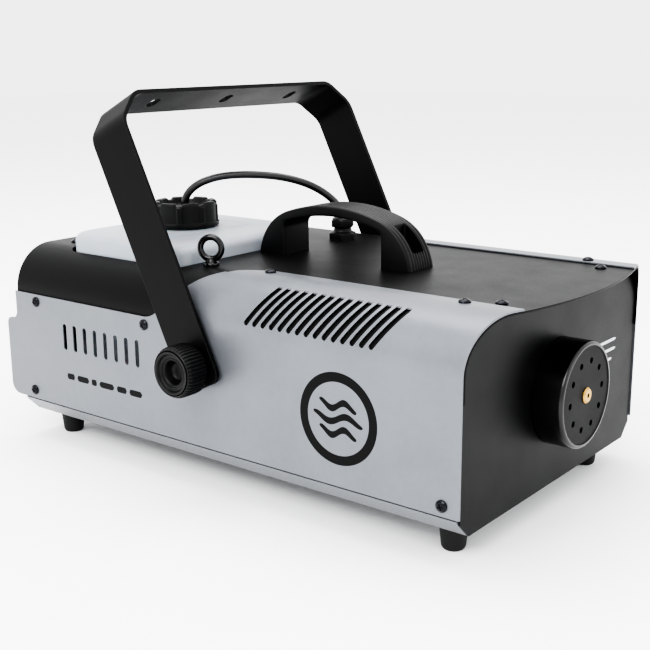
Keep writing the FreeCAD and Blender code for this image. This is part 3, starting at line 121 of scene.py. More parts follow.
@dataclass(frozen=True)
class Finish:
    """A real material and how its surface was made, as one procedural material.

    The colour drifts slowly over the piece, the roughness drifts with it, and the relief is a
    bump. Corners are rounded by a bevel normal, and their outermost line gets a painted
    highlight in a lighter colour.
    """

    name: str
    colour: str
    shade: str
    pattern: Pattern
    pitch_mm: float
    relief: float = 0.1
    roughness: float = 0.45
    rough_drift: float = 0.06
    metallic: float = 0.0
    coat: float = 0.0
    coat_roughness: float = 0.15
    specular: float = 0.5
    patch_mm: float = 45.0
    edge_mm: float = 0.5
    painted_edge_highlight: str = ""
    painted_highlight_amount: float = 0.35
    subsurface: float = 0.0
    subsurface_scale: float = 0.006
    transmission: float = 0.0
    direction: Triple = (1.0, 1.0, 1.0)

    def relief_height(self, tree: bpy.types.NodeTree, place: bpy.types.NodeSocket
                      ) -> bpy.types.NodeSocket:
        """The height pattern that the bump follows.

        Args:
            tree: The material's node tree.
            place: Object coordinates in metres.

        Returns:
            A height from 0 to 1.
        """
        per_metre = 1000 / self.pitch_mm
        if self.pattern is Pattern.WOVEN:
            warp = add_node(tree, "ShaderNodeTexWave", {
                "Vector": place, "Scale": per_metre / 6.5, "Distortion": 0.6}, bands_direction="X")
            weft = add_node(tree, "ShaderNodeTexWave", {
                "Vector": place, "Scale": per_metre / 6.5, "Distortion": 0.6}, bands_direction="Z")
            return add_node(tree, "ShaderNodeMath", {0: warp.outputs["Fac"], 1: weft.outputs["Fac"]},
                            operation="MAXIMUM").outputs[0]
        if self.pattern is Pattern.CAST:
            pits = add_node(tree, "ShaderNodeTexVoronoi", {"Vector": place, "Scale": per_metre},
                            feature="SMOOTH_F1")
            return pits.outputs["Distance"]
        stretch = tuple(per_metre * share for share in self.direction)
        along = add_node(tree, "ShaderNodeMapping", {"Vector": place, "Scale": stretch})
        detail = 3.0 if self.pattern in (Pattern.GRAIN, Pattern.BRUSHED) else 1.5
        noise = add_node(tree, "ShaderNodeTexNoise", {
            "Vector": along.outputs[0], "Scale": 1.0, "Detail": detail, "Roughness": 0.55})
        return noise.outputs["Fac"]

    def material(self) -> bpy.types.Material:
        """Build the material once, and give the same one back afterwards.

        Returns:
            The material, named for this finish.
        """
        made = bpy.data.materials.get(self.name)
        if made is not None and made.get("finish_made"):
            return made
        made = bpy.data.materials.new(self.name)
        made["finish_made"] = True
        made.use_nodes = True
        tree = made.node_tree
        tree.nodes.clear()
        place = add_node(tree, "ShaderNodeTexCoord").outputs["Object"]
        drift = add_node(tree, "ShaderNodeTexNoise", {
            "Vector": place, "Scale": 1000 / self.patch_mm, "Detail": 3.0, "Roughness": 0.6})
        fine = add_node(tree, "ShaderNodeTexNoise", {
            "Vector": place, "Scale": 1000 / (2.4 * self.pitch_mm), "Detail": 2.0})
        blend = add_node(tree, "ShaderNodeMath", {
            0: fine.outputs["Fac"], 1: 0.35, 2: drift.outputs["Fac"]}, operation="MULTIPLY_ADD")
        ramp = add_node(tree, "ShaderNodeMapRange", {
            "Value": blend.outputs[0], "From Min": 0.45, "From Max": 0.9})
        colour = add_node(tree, "ShaderNodeMix", {
            0: ramp.outputs["Result"], 6: linear(self.shade), 7: linear(self.colour)},
            data_type="RGBA").outputs[2]
        soft = add_node(tree, "ShaderNodeBevel", {"Radius": self.edge_mm * MM}, samples=4)
        # Painted highlight: where the bevel normal turns away from the true normal, along the edges,
        # the colour is mixed towards a lighter highlight colour, broken up by the fine noise.
        if self.painted_edge_highlight:
            true_normal = add_node(tree, "ShaderNodeNewGeometry").outputs["Normal"]
            turn = add_node(tree, "ShaderNodeVectorMath", {0: soft.outputs[0], 1: true_normal},
                            operation="DOT_PRODUCT")
            highlight_band = add_node(tree, "ShaderNodeMapRange", {
                "Value": turn.outputs["Value"], "From Min": 0.985, "From Max": 0.80,
                "To Max": self.painted_highlight_amount})
            painted_highlight_mask = add_node(tree, "ShaderNodeMath", {
                0: highlight_band.outputs["Result"], 1: fine.outputs["Fac"]}, operation="MULTIPLY")
            colour = add_node(tree, "ShaderNodeMix", {
                0: painted_highlight_mask.outputs[0], 6: colour, 7: linear(self.painted_edge_highlight)},
                data_type="RGBA").outputs[2]
        rough = add_node(tree, "ShaderNodeMapRange", {
            "Value": blend.outputs[0], "From Min": 0.3, "From Max": 1.0,
            "To Min": self.roughness - self.rough_drift, "To Max": self.roughness + self.rough_drift})
        bump = add_node(tree, "ShaderNodeBump", {
            "Strength": self.relief, "Distance": self.pitch_mm * MM * 0.35,
            "Height": self.relief_height(tree, place), "Normal": soft.outputs[0]})
        shader = add_node(tree, "ShaderNodeBsdfPrincipled", {
            "Base Color": colour, "Roughness": rough.outputs["Result"],
            "Normal": bump.outputs["Normal"], "Metallic": self.metallic,
            "Coat Weight": self.coat, "Coat Roughness": self.coat_roughness,
            "Specular IOR Level": self.specular, "Transmission Weight": self.transmission,
            "Subsurface Weight": self.subsurface, "Subsurface Scale": self.subsurface_scale})
        add_node(tree, "ShaderNodeOutputMaterial", {"Surface": shader.outputs[0]})
        return made


# Silver-grey polyester powder coat, sprayed and baked: a fine peel and a soft, wide highlight.
# Its edges get a lighter painted highlight, laid on by the bevel edge mask.
SILVER_COAT = Finish("silver_polyester_powder_coat_baked", "#686B70", "#606368", Pattern.PEEL, 1.6,
                     relief=0.10, roughness=0.40, metallic=0.45, coat=0.12, coat_roughness=0.3,
                     edge_mm=0.7, painted_edge_highlight="#95989C", painted_highlight_amount=0.7)
# Black epoxy powder coat, fine-textured: close to matt, with a grey bloom at low angles.
# Its edges get a grey painted highlight.
BLACK_COAT = Finish("black_epoxy_powder_coat_textured", "#050506", "#030304", Pattern.PEEL, 0.9,
                    relief=0.16, roughness=0.42, specular=0.12, edge_mm=0.7, painted_edge_highlight="#2A2A2D",
                    painted_highlight_amount=0.8)
# The same paint on the bent strap, a little duller, with a grey painted highlight at its corners.
STRAP_COAT = Finish("black_epoxy_powder_coat_on_strap", "#050505", "#030303", Pattern.PEEL, 0.8,
                    relief=0.2, roughness=0.5, specular=0.12, edge_mm=0.8, painted_edge_highlight="#3A3A3D",
                    painted_highlight_amount=0.9)
# Black nylon moulded in a spark-eroded tool: an even, fine grain and soft corners.
# Its edges get a grey painted highlight.
BLACK_NYLON = Finish("black_nylon_moulded_fine_grain", "#070708", "#040405", Pattern.GRAIN, 0.5,
                     relief=0.22, roughness=0.4, specular=0.2, edge_mm=0.4, painted_edge_highlight="#3A3A3D",
                     painted_highlight_amount=0.5)
# Black ABS moulded in a polished tool: smoother, with a clear highlight.
BLACK_ABS = Finish("black_abs_moulded_polished", "#0C0C0D", "#080809", Pattern.SMOOTH, 3.0,
                   relief=0.06, roughness=0.3, rough_drift=0.04, edge_mm=0.4)
# Natural high-density polyethylene, blow-moulded: milky, waxy, light goes into it.
MILKY_POLYETHYLENE = Finish("natural_polyethylene_blow_moulded", "#999EA5", "#8E949B",
                            Pattern.SMOOTH, 7.0, relief=0.10, roughness=0.38, subsurface=0.35,
                            subsurface_scale=0.008, edge_mm=1.2, patch_mm=60.0)
# Black polyurethane tube, extruded: satin, with faint drawing lines.
EXTRUDED_TUBE = Finish("black_polyurethane_extruded_tube", "#0B0B0C", "#070708", Pattern.SMOOTH,
                       1.2, relief=0.08, roughness=0.3, rough_drift=0.05, edge_mm=0.1)
# Milky heat-proof tube inside the case.
WHITE_TUBE = Finish("white_ptfe_extruded_tube", "#DEDDD8", "#CFCEC8", Pattern.SMOOTH, 1.2,
                    relief=0.06, roughness=0.4, subsurface=0.2, edge_mm=0.1)
# Forged steel under gloss black enamel: deep, with sharp highlights.
BLACK_ENAMEL = Finish("black_enamel_on_forged_steel", "#060607", "#040405", Pattern.SMOOTH, 2.5,
                      relief=0.1, roughness=0.24, rough_drift=0.04, specular=0.4,
                      edge_mm=0.2)
# Black-oxide screw steel: dark metal with a bright painted highlight on the head's edges.
BLACK_OXIDE = Finish("steel_black_oxide_cold_headed", "#232428", "#16171A", Pattern.GRAIN, 0.4,
                     relief=0.08, roughness=0.2, rough_drift=0.05, metallic=0.85, edge_mm=0.2,
                     painted_edge_highlight="#8A8B90", painted_highlight_amount=0.8)
# Zinc-plated sheet and bar: bright grey with short brushed lines.
ZINC_PLATE = Finish("steel_zinc_plated_brushed", "#B4B5B6", "#9FA0A1", Pattern.BRUSHED, 0.6,
                    relief=0.12, roughness=0.36, metallic=1.0, edge_mm=0.2,
                    direction=(0.15, 1.0, 1.0))
# Natural rubber, compression-moulded: dull and soft-edged.
BLACK_RUBBER = Finish("black_rubber_compression_moulded", "#070707", "#040404", Pattern.GRAIN, 0.8,
                      relief=0.18, roughness=0.66, specular=0.35, edge_mm=0.5)
# Steel disc under heat-proof silicone paint: duller than the ring round it.
HEAT_PAINT = Finish("black_silicone_heat_paint_on_steel", "#050506", "#030304", Pattern.PEEL, 0.7,
                    relief=0.15, roughness=0.5, specular=0.1, edge_mm=0.25, painted_edge_highlight="#050506",
                    painted_highlight_amount=0.9)
# Spun guard ring under satin black enamel.
# Its lip and edges get a grey painted highlight.
RING_ENAMEL = Finish("black_enamel_on_spun_steel", "#050506", "#030304", Pattern.SMOOTH, 3.5,
                     relief=0.05, roughness=0.24, rough_drift=0.04, specular=0.4, edge_mm=0.5,
                     painted_edge_highlight="#39393C", painted_highlight_amount=0.5)
# Turned brass, slightly tarnished by heat.
TURNED_BRASS = Finish("brass_turned", "#C7A35C", "#A8853F", Pattern.BRUSHED, 0.5, relief=0.12,
                      roughness=0.3, metallic=1.0, edge_mm=0.15, direction=(1.0, 0.1, 0.1))
# Sand-cast aluminium heater block.
CAST_ALUMINIUM = Finish("aluminium_sand_cast", "#A4A5A6", "#8C8D8F", Pattern.CAST, 1.4, relief=0.35,
                        roughness=0.52, metallic=1.0, edge_mm=0.8)
# Woven glass-fibre lagging, cream with a visible weave.
GLASS_CLOTH = Finish("glass_fibre_cloth_woven", "#D8D0BD", "#BEB59F", Pattern.WOVEN, 1.6,
                     relief=0.6, roughness=0.85, specular=0.25, edge_mm=0.8)
# Glass-epoxy board under green solder resist.
GREEN_RESIST = Finish("glass_epoxy_green_solder_resist", "#1E5A33", "#174827", Pattern.GRAIN, 1.0,
                      relief=0.1, roughness=0.32, edge_mm=0.2)
# Black moulded cases of the board's parts.
EPOXY_CASE = Finish("black_epoxy_potted_case", "#1D1E20", "#141517", Pattern.GRAIN, 0.4,
                    relief=0.12, roughness=0.4, edge_mm=0.3)
# Clear red acrylic lens over the lamp.
RED_LENS = Finish("red_acrylic_moulded_lens", "#B0170F", "#8E0E09", Pattern.SMOOTH, 2.0,
                  relief=0.05, roughness=0.12, rough_drift=0.02, transmission=0.3, edge_mm=0.2)
# Black pad-printed ink: flatter than the paint under it, with a fine screen.
BLACK_INK = Finish("black_ink_screen_printed", "#050506", "#030304", Pattern.GRAIN, 0.25,
                   relief=0.05, roughness=0.5, specular=0.12, edge_mm=0.02)
# Pale grey ink on the black front.
GREY_INK = Finish("pale_grey_ink_screen_printed", "#C9CBCE", "#BDBFC2", Pattern.GRAIN, 0.25,
                  relief=0.05, roughness=0.5, edge_mm=0.02)
# Pale studio floor of matt paper.
PAPER_FLOOR = Finish("white_paper_backdrop_matt", "#FCFCFC", "#FAFAFA", Pattern.GRAIN, 2.0,
                     relief=0.02, roughness=0.9, specular=0.1, edge_mm=0.01)


# ------------------------------------------------------------------ surfaces

def full_turn(count: int) -> Array:
    """Angles of points evenly spaced round a circle, the first at 0."""
    return np.linspace(0, 2 * math.pi, count, endpoint=False)


def grid_faces(rows: int, columns: int, around: bool) -> Array:
    """Quads of a grid of points that is stored row after row.

    Args:
        rows: How many rows of points there are.
        columns: How many points each row has.
        around: Whether the last column joins the first.

    Returns:
        One row of four point numbers for each quad.
    """
    last = columns if around else columns - 1
    row, column = np.meshgrid(np.arange(rows - 1), np.arange(last), indexing="ij")
    after = (column + 1) % columns
    return np.stack([row * columns + column, row * columns + after,
                     (row + 1) * columns + after, (row + 1) * columns + column], -1).reshape(-1, 4)


def rounded_profile(corners: list[Triple], steps: int = 4) -> Array:
    """An open profile whose corners are rounded.

    Each corner C is replaced by the curve (1-t)^2 A + 2t(1-t) C + t^2 B, where A and B lie on
    its two sides at the corner's own reach. The two ends stay where they are.

    Args:
        corners: First coordinate, second coordinate and reach of each corner.
        steps: Points on each rounded corner.

    Returns:
        The profile's points, two numbers each.
    """
    table = np.array(corners, float)
    point, reach = table[:, :2], table[:, 2:]
    before, after = np.roll(point, 1, 0), np.roll(point, -1, 0)
    to_before, to_after = before - point, after - point
    to_before /= np.maximum(np.linalg.norm(to_before, axis=1, keepdims=True), 1e-9)
    to_after /= np.maximum(np.linalg.norm(to_after, axis=1, keepdims=True), 1e-9)
    reach[0] = reach[-1] = 0
    t = np.linspace(0, 1, steps)[None, :, None]
    start, stop = (point + to_before * reach)[:, None], (point + to_after * reach)[:, None]
    curve = (1 - t) ** 2 * start + 2 * t * (1 - t) * point[:, None] + t ** 2 * stop
    flat = curve.reshape(-1, 2)
    keep = np.r_[True, np.linalg.norm(np.diff(flat, axis=0), axis=1) > 1e-6]
    return flat[keep]


def aimed(points: Array, origin: Triple, along: Triple
          ) -> Array:
    """Stand points made about the Z axis at a place, with Z turned to a direction.

    Args:
        points: Points in millimetres, in the piece's own axes.
        origin: Where the piece's origin goes, in millimetres.
        along: The direction that its Z axis takes.

    Returns:
        The points in the machine's frame, in millimetres.
    """
    turn = np.array(Vector((0, 0, 1)).rotation_difference(Vector(along)).to_matrix())
    return points @ turn.T + np.array(origin)


def lathed(profile: Array, columns: int = 64, swell: Callable[[Array, Array], Array] | None = None
           ) -> Surface:
    """Turn a profile about Z.

    A point at radius r and height h, at angle a, is (r cos a, r sin a, h), and swell(a, number
    of the profile point) multiplies its radius.

    Args:
        profile: Radius and height of each point.
        columns: Points round the axis.
        swell: Gives the factor of every radius, from whole arrays.

    Returns:
        The points and the quads.
    """
    angle = full_turn(columns)[None, :]
    radius, height = profile[:, :1], profile[:, 1:]
    factor = np.ones((len(profile), columns)) if swell is None else swell(
        angle, np.arange(len(profile))[:, None])
    points = np.stack([radius * factor * np.cos(angle), radius * factor * np.sin(angle),
                       height + 0 * angle], -1)
    return points.reshape(-1, 3), grid_faces(len(profile), columns, True)


def joined(*parts: Surface) -> Surface:
    """Several surfaces as one set of points and quads."""
    starts = np.cumsum([0] + [len(points) for points, _ in parts[:-1]])
    return (np.concatenate([points for points, _ in parts]),
            np.concatenate([faces + start for (_, faces), start in zip(parts, starts)]))


def placed(name: str, data: bpy.types.ID | None) -> bpy.types.Object:
    """A new object with this data, linked to the scene."""
    thing = bpy.data.objects.new(name, data)
    bpy.context.scene.collection.objects.link(thing)
    return thing


def closed_mesh(name: str, shape: Surface, tidy: bool = True) -> bpy.types.Mesh:
    """A mesh whose doubled points are merged and whose faces point outwards.

    Args:
        name: The mesh's name.
        shape: Its points and quads.
        tidy: Whether faces without area are dissolved too.

    Returns:
        The new mesh.
    """
    points, faces = shape
    mesh = bpy.data.meshes.new(name)
    mesh.from_pydata(points * MM, [], faces)
    work = bmesh.new()
    work.from_mesh(mesh)
    bmesh.ops.remove_doubles(work, verts=work.verts, dist=1e-7)
    if tidy:
        bmesh.ops.dissolve_degenerate(work, edges=work.edges, dist=1e-7)
    bmesh.ops.recalc_face_normals(work, faces=work.faces)
    work.to_mesh(mesh)
    work.free()
    return mesh


def piece(name: str, shape: Surface, finish: Finish, body: str,
          stands_for: tuple[str, ...] = (), crease: float = 35.0) -> bpy.types.Object:
    """Make one visible piece in place and hang it on its body.

    Args:
        name: The piece's name.
        shape: Points in millimetres in the machine's frame, and quads.
        finish: What it is made of.
        body: The CAD body that it moves with.
        stands_for: The CAD nodes that it replaces.
        crease: Edges sharper than this many degrees stay hard.

    Returns:
        The new object.
    """
    mesh = closed_mesh(name, shape)
    mesh.shade_smooth()
    mesh.set_sharp_from_angle(angle=math.radians(crease))
    mesh.materials.append(finish.material())
    thing = placed(name, mesh)
    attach(thing, body)
    if stands_for:
        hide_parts(*stands_for)
    log.info("%s: %d faces on %s", name, len(mesh.polygons), body)
    return thing


def dress(finish: Finish, *nodes: str) -> None:
    """Give CAD nodes a finish."""
    for name in nodes:
        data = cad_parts[name].data
        data.materials.clear()
        data.materials.append(finish.material())
        log.info("%s: dressed in %s", name, finish.name)


def carve(target: bpy.types.Object, shapes: list[Surface]) -> None:
    """Cut closed shapes out of a piece, and leave it a plain mesh.

    Args:
        target: The piece.
        shapes: Points in millimetres and quads of each cutter.
    """
    for number, shape in enumerate(shapes):
        mesh = closed_mesh(f"cutter_{number}", shape, tidy=False)
        cutter = placed(mesh.name, mesh)
        modifier = target.modifiers.new("carve", "BOOLEAN")
        modifier.operation, modifier.solver, modifier.object = "DIFFERENCE", "EXACT", cutter
        bpy.context.view_layer.update()
        graph = bpy.context.evaluated_depsgraph_get()
        result = bpy.data.meshes.new_from_object(target.evaluated_get(graph))
        target.modifiers.clear()
        old, target.data = target.data, result
        bpy.data.meshes.remove(old)
        bpy.data.objects.remove(cutter)
        bpy.data.meshes.remove(mesh)
    target.data.shade_smooth()
    target.data.set_sharp_from_angle(angle=math.radians(35))


def box_shape(low: Triple, high: Triple, reach: float = 1.0
              ) -> Surface:
    """A box with rounded upright edges, closed at its ends, as a cutter.

    Its outline is a rounded rectangle carried up in four rows; the first and last row shrink to
    the middle.

    Args:
        low: Its lowest corner in millimetres.
        high: Its highest corner.
        reach: How much of each corner is rounded.

    Returns:
        The points and the quads.
    """
    (x0, y0, z0), (x1, y1, z1) = low, high
    middle = (x0 + x1) / 2
    loop = rounded_profile([(middle, y0, 0), (x1, y0, reach), (x1, y1, reach), (x0, y1, reach),
                            (x0, y0, reach), (middle, y0, 0)], 4)[:-1]
    centre = np.array([[middle, (y0 + y1) / 2]])
    rows = [np.repeat(centre, len(loop), 0), loop, loop, np.repeat(centre, len(loop), 0)]
    heights = np.repeat([z0, z0, z1, z1], len(loop))[:, None]
    return np.hstack([np.concatenate(rows), heights]), grid_faces(4, len(loop), True)


# ------------------------------------------------------------------ studio and hose

@dataclass
class Studio:
    """Floor, soft lights and the camera."""

    eye_mm: Triple = (524.6, -655.5, 310.5)
    heading: float = 128.46
    pitch: float = -14.05
    roll: float = -0.44
    lens: float = 61.4
    floor_half: float = 6000.0
    glow: float = 1.25
    look: str = "AgX - High Contrast"
    exposure: float = 0.6

    def place_camera(self) -> None:
        """Aim the camera: forward is (cos pitch cos heading, cos pitch sin heading, sin pitch)."""
        pitch, heading = math.radians(self.pitch), math.radians(self.heading)
        forward = Vector((math.cos(pitch) * math.cos(heading), math.cos(pitch) * math.sin(heading),
                          math.sin(pitch)))
        data = bpy.data.cameras.new("camera")
        data.lens, data.sensor_width, data.clip_end = self.lens, 36.0, 50.0
        camera = placed("camera", data)
        turn = forward.to_track_quat("-Z", "Y").to_matrix().to_4x4()
        camera.matrix_world = (Matrix.Translation(Vector(self.eye_mm) * MM) @ turn
                               @ Matrix.Rotation(math.radians(self.roll), 4, "Z"))
        bpy.context.scene.camera = camera

    def add_light(self, name: str, place: Triple, size: Pair,
                  power: float) -> None:
        """Hang one soft rectangular light that looks at the middle of the machine.

        Args:
            name: The light's name.
            place: Where it hangs, in metres.
            size: Its width and height in metres.
            power: Its power in watts.
        """
        data = bpy.data.lights.new(name, "AREA")
        data.shape, data.energy = "RECTANGLE", power
        data.size, data.size_y = size
        light = placed(name, data)
        light.location = place
        aim = Vector((0, 0, 0.08)) - Vector(place)
        light.rotation_euler = aim.to_track_quat("-Z", "Y").to_euler()

    def build(self) -> None:
        """Make the camera, the floor, the lights and the white surroundings."""
        self.place_camera()
        edge = np.array([-1.0, 1.0]) * self.floor_half
        x, y = np.meshgrid(edge, edge, indexing="ij")
        points = np.stack([x, y, 0 * x], -1).reshape(-1, 3)
        mesh = bpy.data.meshes.new("floor")
        mesh.from_pydata(points * MM, [], [(0, 2, 3, 1)])
        mesh.materials.append(PAPER_FLOOR.material())
        floor = placed("floor", mesh)
        world = bpy.data.worlds.new("studio")
        world.use_nodes = True
        tree = world.node_tree
        tree.nodes.clear()
        glow = add_node(tree, "ShaderNodeBackground", {
            "Color": linear("#FFFFFF"), "Strength": self.glow})
        add_node(tree, "ShaderNodeOutputWorld", {"Surface": glow.outputs[0]})
        bpy.context.scene.world = world
        bpy.context.scene.view_settings.look = self.look
        bpy.context.scene.view_settings.exposure = self.exposure
        self.add_light("key", (0.3, -1.6, 1.5), (1.4, 0.9), 26.0)
        self.add_light("top", (-0.3, 0.2, 1.9), (1.6, 1.2), 22.0)
        self.add_light("front", (1.8, 0.5, 0.7), (0.9, 0.9), 4.0)


@dataclass
class FluidLine:
    """The black tube from the tank's cap to the gland, and the gland."""

    radius: float = 3.0
    length: float = 162.9
    cap: Pair = CAP_PLACE
    gland: Pair = (-26.0, 62.0)
    deck: float = DECK
    route: tuple[Pair, ...] = (
        (0.0, 30.5), (0.0, 35.5), (4.0, 42.0), (10.5, 47.2), (19.5, 51.0), (31.0, 53.6),
        (46.0, 54.4), (62.0, 53.8), (79.0, 51.8), (96.0, 47.2), (109.0, 41.0), (119.0, 33.5),
        (125.5, 26.0), (128.0, 18.5), (128.0, 8.0))

    def build_hose(self) -> None:
        """The tube: a smooth line through the air, high over the tank and down to the gland."""
        start, stop = np.array(self.cap), np.array(self.gland)
        table = np.array(self.route)
        plan = start + (stop - start) * (table[:, :1] / table[-1, 0])
        places = np.hstack([plan, self.deck + table[:, 1:]]) * MM
        points = np.hstack([places, np.ones((len(table), 1))])
        curve = bpy.data.curves.new("fluid_tube", "CURVE")
        curve.dimensions = "3D"
        curve.bevel_depth, curve.bevel_resolution, curve.resolution_u = self.radius * MM, 6, 10
        line = curve.splines.new("NURBS")
        line.points.add(len(points) - 1)
        line.points.foreach_set("co", points.ravel())
        line.order_u = 3
        line.use_endpoint_u = True
        curve.materials.append(EXTRUDED_TUBE.material())
        tube = placed("fluid_tube", curve)
        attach(tube, "case")
        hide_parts("fluid_hose")

    def build_gland(self) -> None:
        """The gland: its hexagons' radius is 1.06 times cos 30 / cos(a mod 60 - 30)."""
        corners = [(3.2, -4, 0), (6.4, -4, 0.3), (6.4, 0, 0.1), (11.0, 0, 0.3), (11.0, 5.2, 0.8),
                   (7.6, 6.6, 0.8), (6.9, 9.6, 0.6), (9.2, 10.4, 0.6), (9.2, 15.6, 0.8),
                   (7.8, 17.4, 0.8), (5.0, 18.2, 0.6), (3.2, 18.2, 0.3), (3.2, 9, 0)]
        profile = rounded_profile(corners)
        height = profile[:, 1]
        hexed = ((height > 0.2) & (height < 5.4) | (height > 10.2) & (height < 16.2)).astype(float)

        def swell(angle: Array, row: Array) -> Array:
            """Radius factor: a hexagon on the foot and the nut, a circle elsewhere."""
            turn = np.mod(angle, math.pi / 3) - math.pi / 6
            hexagon = math.cos(math.pi / 6) / np.cos(turn) * 1.06
            share = hexed[row]
            return 1 + share * (hexagon - 1)

        points, faces = lathed(profile, 96, swell)
        piece("gland_body_and_nut", (aimed(points, (*self.gland, self.deck), UP), faces),
              BLACK_NYLON, "case", ("hose_gland",), crease=28)
        dress(BLACK_NYLON, "gland_locknut")
        dress(BLACK_RUBBER, "hose_grommet")
        dress(EXTRUDED_TUBE, "suction_hose", "pickup_tube")
        dress(WHITE_TUBE, "pressure_hose")


# ------------------------------------------------------------------ tank and cap

@dataclass
class Tank:
    """The blow-moulded tank and its lobed screw cap."""

    low: Triple = (-177.0, -99.5, 21.2)
    high: Triple = (-47.5, 45.5, 171.5)
    corner: float = 14.0
    neck: Pair = CAP_PLACE
    neck_radius: float = 21.0
    neck_top: float = 182.5
    cap_radius: float = 27.0
    cap_base: float = 172.5
    cap_top: float = 192.5
    lobes: int = 8
    lobe_turn: float = -11.4

    def outline(self, inset: Array, count: int = 160) -> Array:
        """The tank's rounded outline at several insets.

        A quarter turn is a straight half side, a round corner and another straight half side:
        the first and last 0.3 of it slide along the sides, and the part between turns the
        corner. A row drawn in by d is the outline scaled by (half size - d) / half size.

        Args:
            inset: How far each row is drawn in, in millimetres.
            count: Points round the tank.

        Returns:
            Rows of plan points.
        """
        half_x, half_y = (self.high[0] - self.low[0]) / 2, (self.high[1] - self.low[1]) / 2
        middle = ((self.high[0] + self.low[0]) / 2, (self.high[1] + self.low[1]) / 2)
        straight = np.array([[half_x, half_y]]) - self.corner
        angle = full_turn(count)
        quarter = np.floor(angle / (math.pi / 2)).astype(int)
        local = (angle - quarter * math.pi / 2) / (math.pi / 2)
        turn = quarter * math.pi / 2 + np.clip((local - 0.3) / 0.4, 0, 1) * math.pi / 2
        sign_x = np.where((quarter == 0) | (quarter == 3), 1, -1)
        sign_y = np.where(quarter < 2, 1, -1)
        side = np.where(local < 0.3, local / 0.3 - 1, np.where(local > 0.7, (local - 0.7) / 0.3, 0))
        even = quarter % 2 == 0
        slide_x = np.where(even, np.where(side > 0, -side, 0), np.where(side < 0, side, 0))
        slide_y = np.where(even, np.where(side < 0, side, 0), np.where(side > 0, -side, 0))
        base_x = sign_x * straight[0, 0] * (1 + slide_x)
        base_y = sign_y * straight[0, 1] * (1 + slide_y)
        round_x, round_y = np.cos(turn) * self.corner, np.sin(turn) * self.corner
        shrink_x = (half_x - inset[:, None]) / half_x
        shrink_y = (half_y - inset[:, None]) / half_y
        return np.stack([middle[0] + (base_x + round_x) * shrink_x,
                         middle[1] + (base_y + round_y) * shrink_y], -1)

    def build_tank(self) -> None:
        """The shell: rows of outlines up the wall and over the shoulder, then circles up the neck."""
        top, neck_floor = self.high[2], 150.0
        wall = rounded_profile([
            (60.0, self.low[2], 0), (0.6, self.low[2], 5), (0.0, 120.0, 1), (0.0, top - 1.9, 6.5),
            (14.0, top - 0.5, 4), (32.0, top - 0.3, 2), (33.4, top, 0.6), (50.0, top, 0)], 7)
        loops = self.outline(wall[:, 0])
        points = np.concatenate([loops, np.broadcast_to(wall[:, 1][:, None, None],
                                                        loops.shape[:2] + (1,))], -1)
        away = loops[-1] - np.array(self.neck)
        away /= np.linalg.norm(away, axis=1, keepdims=True)
        radius = self.neck_radius
        neck = rounded_profile([
            (radius + 3, top, 0), (radius, top + 0.4, 1.2), (radius, top + 1.5, 0.2),
            (radius, top + 3.5, 0.2), (radius, self.neck_top, 0.8),
            (radius - 3, self.neck_top, 0.8), (radius - 3, neck_floor, 0)], 5)
        rings = np.array(self.neck) + neck[:, 0][:, None, None] * away
        up = np.concatenate([rings, np.broadcast_to(neck[:, 1][:, None, None],
                                                    rings.shape[:2] + (1,))], -1)
        first = np.broadcast_to(np.array([(self.low[0] + self.high[0]) / 2,
                                          (self.low[1] + self.high[1]) / 2, self.low[2]]),
                                points[:1].shape)
        last = np.broadcast_to(np.array([*self.neck, neck_floor]), points[:1].shape)
        rows = np.concatenate([first, points, up, last])
        piece("blow_moulded_tank", (rows.reshape(-1, 3), grid_faces(rows.shape[0], rows.shape[1],
                                                                   True)),
              MILKY_POLYETHYLENE, "case", ("fluid_tank",), crease=60)

    def build_cap(self) -> None:
        """The cap: a skirt with eight ribs, and a crown ring that dips where each rib meets it."""
        r, tall = self.cap_radius, self.cap_top - self.cap_base
        corners = [(6.0, tall - 9, 0), (6.0, tall - 5.2, 0.5), (19.5, tall - 5.2, 0.8),
                   (20.6, tall - 0.6, 0.8), (24.0, tall, 1.0), (25.6, tall - 1.5, 1.2),
                   (25.7, 3.8, 0.6), (27.0, 3.2, 0.5), (27.0, 0.3, 0.4), (24.5, 0, 0.3),
                   (22.0, 0.2, 0.3), (22.0, tall - 9, 0.5), (6.0, tall - 9, 0)]
        profile = rounded_profile(corners, 5)
        height, radius = profile[:, 1], profile[:, 0]
        on_skirt = ((radius > 25.2) & (height > 3.0) & (height < tall - 1.0)).astype(float)
        on_crown = ((radius > 20.3) & (height > tall - 4)).astype(float)

        def rib(angle: Array) -> Array:
            """Nearness to a rib, from 0 to 1: a narrow bell at each of the eight places."""
            phase = (angle - math.radians(self.lobe_turn)) * self.lobes / (2 * math.pi)
            offset = (phase - np.round(phase)) * 2 * math.pi / self.lobes * r
            return np.exp(-(offset / 1.5) ** 4)

        def swell(angle: Array, row: Array) -> Array:
            """Radius factor: the ribs stand 1.1 mm proud of the skirt."""
            return 1 + on_skirt[row] * rib(angle) * 1.1 / r

        points, faces = lathed(profile, 360, swell)
        grid = points.reshape(len(profile), 360, 3)
        angle = full_turn(360)
        dip = np.exp(-((np.mod(angle - math.radians(self.lobe_turn) + math.pi / self.lobes,
                               2 * math.pi / self.lobes) - math.pi / self.lobes) * r / 3.4) ** 6)
        grid[:, :, 2] -= on_crown[:, None] * dip[None, :] * 1.8
        piece("screw_cap", (aimed(grid.reshape(-1, 3), (*self.neck, self.cap_base), UP),
                            faces), BLACK_NYLON, "cap", ("tank_cap",), crease=30)
        dress(BLACK_RUBBER, "cap_gasket")
        dress(TURNED_BRASS, "strainer")


# ------------------------------------------------------------------ handle, yoke and eye

